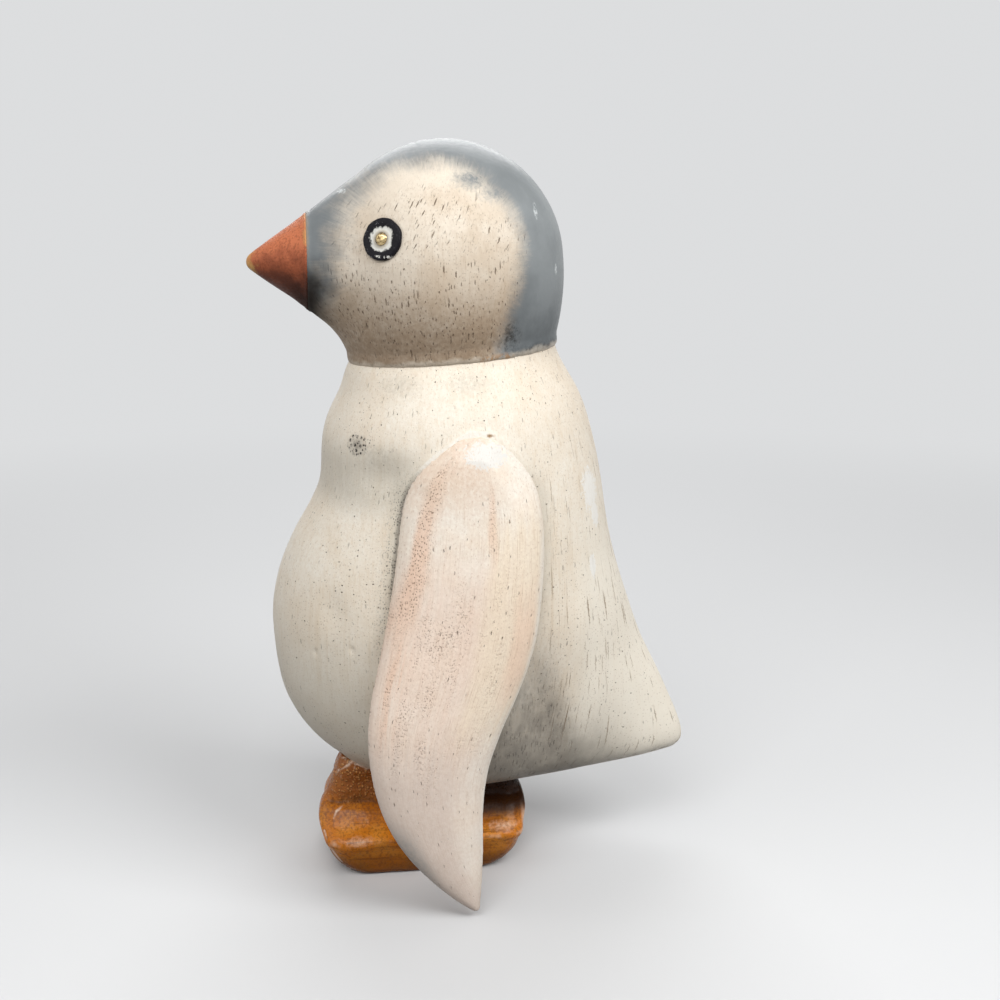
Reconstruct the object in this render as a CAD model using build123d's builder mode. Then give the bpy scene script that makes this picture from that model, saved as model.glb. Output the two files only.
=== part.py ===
"""Carved and painted wooden penguin figurine, glued up from separate pieces on dowels.

The penguin stands on its soles at Z = 0, faces -Y and is alike on both sides of the YZ plane.
"""

import math
import os

from build123d import *

os.makedirs("parts", exist_ok=True)

# Body: one carved block with a flat underside, a round belly, a wedge tail and a sawn neck seat
body_height = 162.5
body_width = 104.0
belly_reach = 70.0
tail_reach = 92.5
neck_diameter = 76.0
neck_tilt = 5.0

# Head: a round dome that narrows to the neck, with a cone that runs out to the beak's seat
head_diameter = 88.0
neck_drop = 33.5
snout_overhang = 6.3
snout_inset = 0.3
snout_blend_radius = 24.0

# Beak: a turned cone with a round tip, glued on the flat front of the head
beak_overhang = 28.4
beak_tip_radius = 3.3

# Flippers: curved blades, flat inside and crowned outside, fitted to the flanks
flipper_width = 52.0
flipper_thickness = 11.0
flipper_drop = 25.0
flipper_tip_height = 2.6
flipper_inset = 11.8
flipper_setback = 1.0
flipper_lean = 7.7

# Feet: two carved blocks, each with a sole, a broad foot and a narrower ankle
foot_height = 35.5
foot_length = 80.0
foot_width = 27.0
foot_gap = 3.0
foot_lead = 14.0

# Eyes: a flat button on each cheek, nailed on with a domed brass pin
eye_diameter = 14.8
eye_thickness = 1.6
eye_edge_radius = 0.5
eye_sink = 0.9
eye_turn = 54.8
eye_lift = 11.7
pin_head_diameter = 4.6
pin_head_height = 1.1
pin_shank_diameter = 1.8
pin_length = 16.0
pin_point_length = 2.5

# Dowels, and the glue room round them
neck_dowel_diameter = 14.0
neck_dowel_length = 56.0
beak_dowel_diameter = 7.0
beak_dowel_length = 22.0
flipper_dowel_diameter = 6.0
flipper_dowel_length = 22.0
flipper_dowel_cover = 2.5
flipper_dowel_pitch = 34.0
flipper_dowel_drop = 38.0
foot_dowel_diameter = 8.0
foot_dowel_length = 34.0
foot_dowel_pitch = 38.0
dowel_chamfer = 0.8
glue_gap = 0.06
glue_end_gap = 0.5

# Cuts run past what they cut by this much
overrun = 2.0

# A quarter of an ellipse drawn as one curve has its handles at this share of each half-axis
round_share = 0.5523

# Body sections from the underside up: height, half-width, front and back reach as shares of the
# body's own sizes, then how full the flank is at the side and at the tail's edge
body_section_shares = (
    (0.000, 0.580, 0.280, 0.972, 0.14, 0.20),
    (0.014, 0.665, 0.440, 0.992, 0.15, 0.21),
    (0.045, 0.775, 0.625, 1.000, 0.17, 0.23),
    (0.125, 0.890, 0.842, 0.950, 0.21, 0.26),
    (0.215, 0.955, 0.953, 0.878, 0.28, 0.32),
    (0.300, 0.988, 0.990, 0.806, 0.36, 0.38),
    (0.380, 1.000, 1.000, 0.752, 0.44, 0.45),
    (0.495, 0.995, 0.958, 0.684, 0.51, 0.52),
    (0.600, 0.978, 0.852, 0.642, 0.54, 0.55),
    (0.700, 0.957, 0.730, 0.612, 0.55, 0.55),
    (0.790, 0.934, 0.712, 0.578, 0.55, 0.55),
    (0.860, 0.893, 0.674, 0.545, 0.55, 0.55),
    (0.925, 0.826, 0.602, 0.498, 0.55, 0.55),
)

# Flipper sections from the top down: place along the length, leading and trailing edge as shares
# of the width, and crown as a share of the thickness
flipper_section_shares = (
    (0.000, -0.045, 0.135, 0.75),
    (0.022, -0.200, 0.272, 0.86),
    (0.050, -0.310, 0.352, 0.93),
    (0.092, -0.405, 0.434, 0.98),
    (0.165, -0.472, 0.498, 1.00),
    (0.280, -0.522, 0.505, 1.00),
    (0.400, -0.595, 0.460, 0.96),
    (0.515, -0.680, 0.355, 0.91),
    (0.615, -0.733, 0.200, 0.85),
    (0.720, -0.705, 0.080, 0.77),
    (0.825, -0.592, 0.045, 0.66),
    (0.910, -0.395, 0.038, 0.53),
    (0.970, -0.185, 0.023, 0.38),
    (1.000, -0.040, 0.012, 0.20),
)

# Foot sections from the sole up: height, then front, back, inner and outer side and the corner
# radius as shares of the foot's own height, length and width
foot_section_shares = (
    (0.00, -0.350, 0.340, 0.05, 0.86, 0.28),
    (0.08, -0.410, 0.400, 0.02, 0.94, 0.33),
    (0.30, -0.475, 0.462, 0.00, 1.00, 0.36),
    (0.46, -0.495, 0.485, 0.00, 0.97, 0.36),
    (0.60, -0.500, 0.500, 0.00, 0.84, 0.33),
    (0.74, -0.480, 0.490, 0.01, 0.66, 0.28),
    (1.00, -0.430, 0.440, 0.02, 0.60, 0.26),
    (1.28, -0.360, 0.380, 0.04, 0.58, 0.24),
    (1.45, -0.318, 0.345, 0.05, 0.57, 0.23),
)
ankle_middle_share = 0.31

# Places that follow from the sizes
head_radius = head_diameter / 2
neck_radius = neck_diameter / 2
beak_reach = head_radius + beak_overhang
beak_seat_reach = head_radius + snout_overhang
head_lead = neck_drop * math.sin(math.radians(neck_tilt))
axis_y = (head_lead + beak_reach - tail_reach) / 2
neck_z = foot_height + body_height
neck_plane = Plane(Location((0, axis_y, neck_z), (neck_tilt, 0, 0)))
head_center = neck_plane.origin + neck_plane.z_dir * neck_drop
head_section = Plane(origin=head_center, x_dir=(1, 0, 0), z_dir=-neck_plane.y_dir)
beak_section = Plane(origin=head_center, x_dir=(0, -1, 0), z_dir=(1, 0, 0))
beak_seat = Plane(origin=head_center - Vector(0, beak_seat_reach, 0), z_dir=(0, -1, 0))

# The beak's cone touches its round tip and a ball just inside the dome, so it leaves the dome
# almost smoothly
cone_ball_radius = head_radius - snout_inset
tip_center_reach = beak_reach - beak_tip_radius
cone_angle = math.asin((cone_ball_radius - beak_tip_radius) / tip_center_reach)
cone_start_reach = cone_ball_radius * math.sin(cone_angle)
cone_start_radius = cone_ball_radius * math.cos(cone_angle)
tip_start_reach = tip_center_reach + beak_tip_radius * math.sin(cone_angle)
tip_start_radius = beak_tip_radius * math.cos(cone_angle)
beak_seat_radius = tip_start_radius + (tip_start_reach - beak_seat_reach) * math.tan(cone_angle)

# The eye's seat looks outward, forward and a little up from the middle of the head
eye_normal = Vector(
    math.cos(math.radians(eye_lift)) * math.sin(math.radians(eye_turn)),
    -math.cos(math.radians(eye_lift)) * math.cos(math.radians(eye_turn)),
    math.sin(math.radians(eye_lift)),
)
eye_seat_offset = eye_normal * (head_radius - eye_sink)

# The flipper's flat inner side leans outward toward the tip
lean_sine = math.sin(math.radians(flipper_lean))
lean_cosine = math.cos(math.radians(flipper_lean))
flipper_down = Vector(lean_sine, 0, -lean_cosine)
flipper_out = Vector(lean_cosine, 0, lean_sine)
flipper_top_z = neck_z - flipper_drop
flipper_top = Vector(body_width / 2 - flipper_inset, axis_y + flipper_setback, flipper_top_z)
flipper_length = (flipper_top_z - flipper_tip_height) / lean_cosine
flipper_dowel_drops = (
    flipper_dowel_drop - flipper_dowel_pitch / 2,
    flipper_dowel_drop + flipper_dowel_pitch / 2,
)
flipper_dowel_top = flipper_thickness - flipper_dowel_cover
flipper_dowel_middle = flipper_dowel_top - flipper_dowel_length / 2

# The feet stand side by side, a little ahead of the body's axis
foot_y = axis_y - foot_lead
foot_inner_x = foot_gap / 2
ankle_top_z = foot_height * foot_section_shares[-1][0]
foot_dowel_x = foot_inner_x + foot_width * ankle_middle_share
foot_dowel_ys = (foot_y - foot_dowel_pitch / 2, foot_y + foot_dowel_pitch / 2)

# Bores are wider than the dowels by the glue gap all round
neck_bore_radius = neck_dowel_diameter / 2 + glue_gap
beak_bore_radius = beak_dowel_diameter / 2 + glue_gap
flipper_bore_radius = flipper_dowel_diameter / 2 + glue_gap
foot_bore_radius = foot_dowel_diameter / 2 + glue_gap
pin_bore_radius = pin_shank_diameter / 2 + glue_gap
pin_head_radius = pin_head_diameter / 2


def egg_outline(half_width, front, back, side_share, tail_share):
    """Draw a closed egg of four curves round the body's axis, with its front toward -Y."""
    for side in (1, -1):
        Bezier(
            (side * half_width, 0),
            (side * half_width, side_share * back),
            (side * tail_share * half_width, back),
            (0, back),
        )
        Bezier(
            (0, -front),
            (side * round_share * half_width, -front),
            (side * half_width, -round_share * front),
            (side * half_width, 0),
        )


def flipper_plane(drop):
    """Return the plane of a flipper section, its X toward the tail and its Y outward."""
    return Plane(origin=flipper_top + flipper_down * drop, x_dir=(0, 1, 0), z_dir=flipper_down)


def sided(vector, side):
    """Return the vector on the left side, or mirrored to the right one when side is -1."""
    return Vector(side * vector.X, vector.Y, vector.Z)


def eye_plane(side, height):
    """Return the plane that lies the given height above an eye's seat and looks outward."""
    center = head_center + sided(eye_seat_offset + eye_normal * height, side)
    return Plane(origin=center, z_dir=sided(eye_normal, side))


def flipper_dowel_plane(drop, side, height):
    """Return the plane across a flipper dowel, the given height above the flipper's flat side."""
    center = flipper_top + flipper_down * drop + flipper_out * height
    return Plane(origin=sided(center, side), z_dir=sided(flipper_out, side))


# Body before drilling, with a flat underside and the tilted neck seat on top
with BuildPart() as body_blank:
    for height_share, width_share, front_share, back_share, side_share, tail_share in body_section_shares:
        with BuildSketch(Plane((0, axis_y, foot_height + body_height * height_share))):
            with BuildLine():
                egg_outline(
                    body_width / 2 * width_share,
                    belly_reach * front_share,
                    tail_reach * back_share,
                    side_share,
                    tail_share,
                )
            make_face()
    with BuildSketch(neck_plane):
        with BuildLine():
            egg_outline(neck_radius, neck_radius, neck_radius, round_share, round_share)
        make_face()
    loft()

# Left flipper, lofted past the flank and then cut to the body's own curve
with BuildPart() as flipper_left:
    for drop_share, lead_share, trail_share, crown_share in flipper_section_shares:
        lead = flipper_width * lead_share
        trail = flipper_width * trail_share
        crown = flipper_thickness * crown_share
        middle = (lead + trail) / 2
        with BuildSketch(flipper_plane(flipper_length * drop_share)):
            with BuildLine():
                Line((lead, 0), (trail, 0))
                for edge in (trail, lead):
                    Bezier(
                        (edge, 0),
                        (edge, crown * round_share),
                        (middle + (edge - middle) * round_share, crown),
                        (middle, crown),
                    )
            make_face()
    loft()
    add(body_blank.part, mode=Mode.SUBTRACT)
    for drop in flipper_dowel_drops:
        with Locations((-flipper_dowel_plane(drop, 1, -overrun)).location):
            Hole(flipper_bore_radius, depth=overrun + flipper_dowel_top + glue_end_gap)
flipper_left.part.label = "flipper_left"
export_step(flipper_left.part, "parts/flipper_left.step")

with BuildPart() as flipper_right:
    mirror(flipper_left.part, about=Plane.YZ)
flipper_right.part.label = "flipper_right"
export_step(flipper_right.part, "parts/flipper_right.step")

# Left foot, lofted from the sole to an ankle that is cut to the belly's underside
with BuildPart() as foot_left:
    for height_share, front_share, back_share, inner_share, outer_share, corner_share in foot_section_shares:
        with BuildSketch(Plane.XY.offset(foot_height * height_share)):
            with Locations(
                (
                    foot_inner_x + foot_width * (inner_share + outer_share) / 2,
                    foot_y + foot_length * (front_share + back_share) / 2,
                )
            ):
                RectangleRounded(
                    foot_width * (outer_share - inner_share),
                    foot_length * (back_share - front_share),
                    foot_width * corner_share,
                )
    loft()
    add(body_blank.part, mode=Mode.SUBTRACT)
    with Locations(*[(foot_dowel_x, y, ankle_top_z) for y in foot_dowel_ys]):
        Hole(foot_bore_radius, depth=ankle_top_z - foot_height + foot_dowel_length / 2 + glue_end_gap)
foot_left.part.label = "foot_left"
export_step(foot_left.part, "parts/foot_left.step")

with BuildPart() as foot_right:
    mirror(foot_left.part, about=Plane.YZ)
foot_right.part.label = "foot_right"
export_step(foot_right.part, "parts/foot_right.step")

# Body, drilled for the neck, the flippers and the feet
with BuildPart() as body:
    add(body_blank.part)
    with Locations(neck_plane.location):
        Hole(neck_bore_radius, depth=neck_dowel_length / 2 + glue_end_gap)
    for side in (1, -1):
        for drop in flipper_dowel_drops:
            with Locations(flipper_dowel_plane(drop, side, flipper_dowel_top).location):
                Hole(flipper_bore_radius, depth=flipper_dowel_length + glue_end_gap)
        for y in foot_dowel_ys:
            with Locations((-Plane((side * foot_dowel_x, y, foot_height))).location):
                Hole(foot_bore_radius, depth=foot_dowel_length / 2 + glue_end_gap)
body.part.label = "body"
export_step(body.part, "parts/body.step")

# Head: dome, neck and snout cone blended, with flat seats for the beak and the eyes
with BuildPart() as head:
    with BuildSketch(head_section):
        with BuildLine():
            CenterArc((0, 0), head_radius, 0, 90)
            TangentArc((head_radius, 0), (neck_radius, -neck_drop), tangent=(0, -1))
            Polyline((neck_radius, -neck_drop), (0, -neck_drop), (0, head_radius))
        make_face()
    revolve(axis=Axis(head_center, neck_plane.z_dir))
    with BuildSketch(beak_section):
        Polygon(
            (cone_start_reach, 0),
            (cone_start_reach, cone_start_radius),
            (beak_seat_reach, beak_seat_radius),
            (beak_seat_reach, 0),
            align=None,
        )
    revolve(axis=Axis(head_center, (0, -1, 0)))
    snout_edges = head.edges().filter_by(GeomType.LINE, reverse=True)
    snout_edges = snout_edges.filter_by_position(
        Axis.Y, head_center.Y - beak_seat_reach + overrun, head_center.Y - cone_start_reach / 2
    )
    fillet(snout_edges, snout_blend_radius)
    with Locations((-neck_plane).location):
        Hole(neck_bore_radius, depth=neck_dowel_length / 2 + glue_end_gap)
    with Locations(beak_seat.location):
        Hole(beak_bore_radius, depth=beak_dowel_length / 2 + glue_end_gap)
    for side in (1, -1):
        with Locations(eye_plane(side, overrun).location):
            Hole(eye_diameter / 2 + glue_gap, depth=overrun)
            Hole(pin_bore_radius, depth=overrun + pin_length - eye_thickness + glue_end_gap)
head.part.label = "head"
export_step(head.part, "parts/head.step")

# Beak: a cone with a round tip
with BuildPart() as beak:
    with BuildSketch(beak_section):
        with BuildLine():
            Polyline(
                (beak_reach, 0),
                (beak_seat_reach, 0),
                (beak_seat_reach, beak_seat_radius),
                (tip_start_reach, tip_start_radius),
            )
            TangentArc(
                (tip_start_reach, tip_start_radius),
                (beak_reach, 0),
                tangent=(math.cos(cone_angle), -math.sin(cone_angle)),
            )
        make_face()
    revolve(axis=Axis(head_center, (0, -1, 0)))
    with Locations((-beak_seat).location):
        Hole(beak_bore_radius, depth=beak_dowel_length / 2 + glue_end_gap)
beak.part.label = "beak"
export_step(beak.part, "parts/beak.step")

# Eye buttons with a softened rim, and the brass pins that nail them on
for side, name in ((1, "left"), (-1, "right")):
    with BuildPart(eye_plane(side, 0)) as eye_disc:
        Cylinder(eye_diameter / 2, eye_thickness, align=(Align.CENTER, Align.CENTER, Align.MIN))
        outward = Axis(head_center, sided(eye_normal, side))
        fillet(eye_disc.faces().sort_by(outward)[-1].edges(), eye_edge_radius)
        with Locations((0, 0, eye_thickness)):
            Hole(pin_bore_radius, depth=eye_thickness)
    eye_disc.part.label = f"eye_disc_{name}"
    export_step(eye_disc.part, f"parts/eye_disc_{name}.step")

    pin_base = eye_plane(side, eye_thickness)
    with BuildPart() as eye_pin:
        with BuildSketch(Plane(origin=pin_base.origin, x_dir=pin_base.x_dir, z_dir=-pin_base.y_dir)):
            with BuildLine():
                Bezier(
                    (pin_head_radius, 0),
                    (pin_head_radius, pin_head_height * round_share),
                    (pin_head_radius * round_share, pin_head_height),
                    (0, pin_head_height),
                )
                Polyline(
                    (0, pin_head_height),
                    (0, -pin_length),
                    (pin_shank_diameter / 2, pin_point_length - pin_length),
                    (pin_shank_diameter / 2, 0),
                    (pin_head_radius, 0),
                )
            make_face()
        revolve(axis=Axis(pin_base.origin, pin_base.z_dir))
    eye_pin.part.label = f"eye_pin_{name}"
    export_step(eye_pin.part, f"parts/eye_pin_{name}.step")

# Dowels, half in each of the two pieces that they hold
with BuildPart(neck_plane) as neck_dowel:
    Cylinder(neck_dowel_diameter / 2, neck_dowel_length)
    chamfer(neck_dowel.edges().filter_by(GeomType.CIRCLE), dowel_chamfer)
neck_dowel.part.label = "neck_dowel"
export_step(neck_dowel.part, "parts/neck_dowel.step")

with BuildPart(beak_seat) as beak_dowel:
    Cylinder(beak_dowel_diameter / 2, beak_dowel_length)
    chamfer(beak_dowel.edges().filter_by(GeomType.CIRCLE), dowel_chamfer)
beak_dowel.part.label = "beak_dowel"
export_step(beak_dowel.part, "parts/beak_dowel.step")

for side, name in ((1, "left"), (-1, "right")):
    with BuildPart() as flipper_dowels:
        for drop in flipper_dowel_drops:
            with Locations(flipper_dowel_plane(drop, side, flipper_dowel_middle).location):
                Cylinder(flipper_dowel_diameter / 2, flipper_dowel_length)
        chamfer(flipper_dowels.edges().filter_by(GeomType.CIRCLE), dowel_chamfer)
    flipper_dowels.part.label = f"flipper_dowels_{name}"
    export_step(flipper_dowels.part, f"parts/flipper_dowels_{name}.step")

    with BuildPart() as foot_dowels:
        with Locations(*[(side * foot_dowel_x, y, foot_height) for y in foot_dowel_ys]):
            Cylinder(foot_dowel_diameter / 2, foot_dowel_length)
        chamfer(foot_dowels.edges().filter_by(GeomType.CIRCLE), dowel_chamfer)
    foot_dowels.part.label = f"foot_dowels_{name}"
    export_step(foot_dowels.part, f"parts/foot_dowels_{name}.step")
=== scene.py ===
"""Looks of a carved wooden penguin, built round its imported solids.

Every carved piece is cut again, finer, from the outline of its solid, so that it gets the dents,
ridges and tool marks of hand work. The eyes are turned and hammered anew.
"""

import functools
import logging
import math
from dataclasses import dataclass, field
from enum import Enum
from typing import Callable

import bmesh
import bpy
import numpy as np
from mathutils import Matrix, Vector, noise
from mathutils.bvhtree import BVHTree


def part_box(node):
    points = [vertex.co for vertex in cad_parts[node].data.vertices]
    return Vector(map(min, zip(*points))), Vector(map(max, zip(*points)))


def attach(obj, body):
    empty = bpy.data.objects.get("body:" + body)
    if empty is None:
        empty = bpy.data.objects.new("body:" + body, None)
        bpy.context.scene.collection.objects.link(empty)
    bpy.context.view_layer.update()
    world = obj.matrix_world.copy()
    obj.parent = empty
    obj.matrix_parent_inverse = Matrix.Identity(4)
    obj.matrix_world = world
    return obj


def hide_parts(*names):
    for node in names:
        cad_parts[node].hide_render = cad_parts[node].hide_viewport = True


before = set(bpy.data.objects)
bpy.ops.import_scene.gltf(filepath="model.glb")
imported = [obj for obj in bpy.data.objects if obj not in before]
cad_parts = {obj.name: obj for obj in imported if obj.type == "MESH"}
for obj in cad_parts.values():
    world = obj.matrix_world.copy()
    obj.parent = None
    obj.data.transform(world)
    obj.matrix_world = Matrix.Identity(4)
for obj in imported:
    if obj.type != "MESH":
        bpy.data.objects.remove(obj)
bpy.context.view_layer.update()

log = logging.getLogger("penguin")

MM = 0.001
FAR = 1e9
TINY = 1e-9

Rgb = tuple[float, float, float]
Point = tuple[float, float, float]
Socket = bpy.types.NodeSocket
Feed = bpy.types.NodeSocket | float | tuple[float, ...]
Inputs = dict[str, Socket]

ORIGIN: Point = (0.0, 0.0, 0.0)

# Middle of the pale cheek that the cap's edge runs round, in millimetres
CHEEK_Y = -19.5
CHEEK_Z = 233.0

# A bend of the surface that counts as a sharp edge, and the most that is told apart
SHARP_BEND = 0.14
MOST_RIDGE = 1.5


class Effect(Enum):
    """Shader effects that more than one finish uses."""

    GRAIN = "wood_grain"
    FLECK = "pores_and_specks"
    PORE = "pores_on_a_flat"
    MOTTLE = "uneven_paint"
    SPOT = "ragged_spot"
    LINE = "worn_line"
    GRIME_AND_SHADE = "grime_in_a_seam"


class Side(Enum):
    """The two sides of the figure."""

    LEFT = "left"
    RIGHT = "right"


class Graph:
    """A shader node tree that is put together by plain calls."""

    def __init__(self, tree: bpy.types.NodeTree) -> None:
        """Take the tree to work in."""
        self.tree = tree

    def node(self, kind: str, feeds: dict[str | int, Feed] | None = None, **options: object) -> bpy.types.Node:
        """Add one node.

        Args:
            kind: Blender's name of the node type.
            feeds: what goes into its sockets, values or other sockets.
            options: settings of the node itself.

        Returns:
            The new node.
        """
        made = self.tree.nodes.new(kind)
        for key, value in options.items():
            setattr(made, key, value)
        for key, value in (feeds or {}).items():
            self.feed(made.inputs[key], value)
        return made

    def feed(self, socket: Socket, value: Feed) -> None:
        """Link a socket, or set its value.

        Args:
            socket: the input.
            value: another socket, a number, or a tuple for a vector or a colour.
        """
        if isinstance(value, bpy.types.NodeSocket):
            self.tree.links.new(value, socket)
        elif socket.type == "RGBA":
            socket.default_value = (*value, 1.0)
        else:
            socket.default_value = value

    def math(self, operation: str, a: Feed, b: Feed = 0.0, clamp: bool = False) -> Socket:
        """Work out one number from two.

        Args:
            operation: name of the sum.
            a: first number.
            b: second number.
            clamp: hold the result between 0 and 1.

        Returns:
            The result.
        """
        return self.node("ShaderNodeMath", {0: a, 1: b}, operation=operation, use_clamp=clamp).outputs[0]

    def plus(self, a: Feed, b: Feed) -> Socket:
        """Add two numbers."""
        return self.math("ADD", a, b)

    def minus(self, a: Feed, b: Feed) -> Socket:
        """Take the second number from the first."""
        return self.math("SUBTRACT", a, b)

    def vector(self, operation: str, a: Feed, b: Feed) -> Socket:
        """Work out one vector from two.

        Args:
            operation: name of the sum.
            a: first vector.
            b: second vector.

        Returns:
            The result.
        """
        return self.node("ShaderNodeVectorMath", {0: a, 1: b}, operation=operation).outputs["Vector"]

    def length(self, a: Socket) -> Socket:
        """Give the length of a vector."""
        return self.node("ShaderNodeVectorMath", {0: a}, operation="LENGTH").outputs["Value"]

    def dot(self, a: Socket, b: Socket) -> Socket:
        """Give how far one vector reaches along another, times the other's length."""
        return self.node("ShaderNodeVectorMath", {0: a, 1: b}, operation="DOT_PRODUCT").outputs["Value"]

    def place(self) -> Socket:
        """Give the point on the piece, in millimetres."""
        here = self.node("ShaderNodeTexCoord").outputs["Object"]
        return self.vector("MULTIPLY", here, (1.0 / MM,) * 3)

    def split(self, a: Socket) -> tuple[Socket, Socket, Socket]:
        """Give the three parts of a vector."""
        parts = self.node("ShaderNodeSeparateXYZ", {0: a}).outputs
        return parts[0], parts[1], parts[2]

    def join(self, x: Feed, y: Feed, z: Feed) -> Socket:
        """Make a vector of three numbers."""
        return self.node("ShaderNodeCombineXYZ", {0: x, 1: y, 2: z}).outputs[0]

    def wrap(self, at: Socket, middle_y: float, radius: float, level: float) -> Socket:
        """Unroll a piece that is round about an upright line.

        Args:
            at: where it is read.
            middle_y: where the line stands.
            radius: how far out lengths stay true.
            level: the height that counts as none.

        Returns:
            A vector of the place round the piece, from its front, then nothing, then the height.
        """
        x, y, z = self.split(at)
        angle = self.math("ARCTAN2", x, self.minus(middle_y, y))
        return self.join(self.both(angle, radius), 0.0, self.minus(z, level))

    def turn(self, a: Socket, degrees: float) -> Socket:
        """Turn a pattern about the line that runs across the figure."""
        turned = (math.radians(degrees), 0.0, 0.0)
        return self.node("ShaderNodeMapping", {"Vector": a, "Rotation": turned}).outputs[0]

    def noise(self, at: Socket, scale: Feed, detail: float = 3.0, rough: float = 0.55) -> Socket:
        """Give smooth noise from 0 to 1.

        Args:
            at: where it is read.
            scale: lumps per unit.
            detail: how many finer layers it has.
            rough: how strong these are.

        Returns:
            The noise value.
        """
        feeds = {"Vector": at, "Scale": scale, "Detail": detail, "Roughness": rough}
        return self.node("ShaderNodeTexNoise", feeds).outputs[0]

    def span(self, value: Socket, low: Feed, high: Feed) -> Socket:
        """Rise smoothly from 0 to 1 as a value goes from low to high."""
        feeds = {"Value": value, "From Min": low, "From Max": high}
        return self.node("ShaderNodeMapRange", feeds, interpolation_type="SMOOTHSTEP").outputs[0]

    def fit(self, value: Socket, low: float, high: float) -> Socket:
        """Spread a value from 0 to 1 over the range low to high."""
        return self.node("ShaderNodeMapRange", {"Value": value, "To Min": low, "To Max": high}).outputs[0]

    def band(self, value: Socket, start: float, full: float, fading: float, end: float) -> Socket:
        """Rise from 0 to 1 between start and full, and fall back between fading and end."""
        return self.both(self.span(value, start, full), self.span(value, end, fading))

    def both(self, *masks: Feed) -> Socket:
        """Multiply masks with each other and with plain shares."""
        return functools.reduce(functools.partial(self.math, "MULTIPLY"), masks)

    def either(self, *masks: Socket) -> Socket:
        """Take the strongest of several masks."""
        return functools.reduce(functools.partial(self.math, "MAXIMUM"), masks)

    def sway(self, value: Socket, most: float) -> Socket:
        """Turn a value from 0 to 1 into a shift to either side, of most in all."""
        return self.both(self.minus(value, 0.5), most)

    def mix(self, share: Feed, a: Feed, b: Feed) -> Socket:
        """Lay one colour over another.

        Args:
            share: how much of the second shows.
            a: the colour below.
            b: the colour on top.

        Returns:
            The mixed colour.
        """
        made = self.node("ShaderNodeMix", {0: share}, data_type="RGBA")
        self.feed(made.inputs[6], a)
        self.feed(made.inputs[7], b)
        return made.outputs[2]

    def coat(self, below: Feed, paint: Feed, *masks: Feed) -> Socket:
        """Lay paint over a colour where all the masks let it show.

        Args:
            below: the colour that is there.
            paint: the colour on top.
            masks: masks and plain shares, multiplied with each other.

        Returns:
            The mixed colour.
        """
        return self.mix(self.both(*masks), below, paint)

    def attribute(self, name: str) -> Socket:
        """Read a number that is stored on the mesh."""
        return self.node("ShaderNodeAttribute", attribute_name=name).outputs["Fac"]

    def effect(self, effect: Effect, **feeds: Feed) -> Socket:
        """Place a shared effect and give its result."""
        return self.node("ShaderNodeGroup", feeds, node_tree=EFFECTS.group(effect)).outputs[0]


def empty_graph(owner: bpy.types.Material | bpy.types.World) -> Graph:
    """Turn on the nodes of a material or a world, and clear them.

    Args:
        owner: the material or the world.

    Returns:
        Its empty graph.
    """
    owner.use_nodes = True
    owner.node_tree.nodes.clear()
    return Graph(owner.node_tree)


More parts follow.
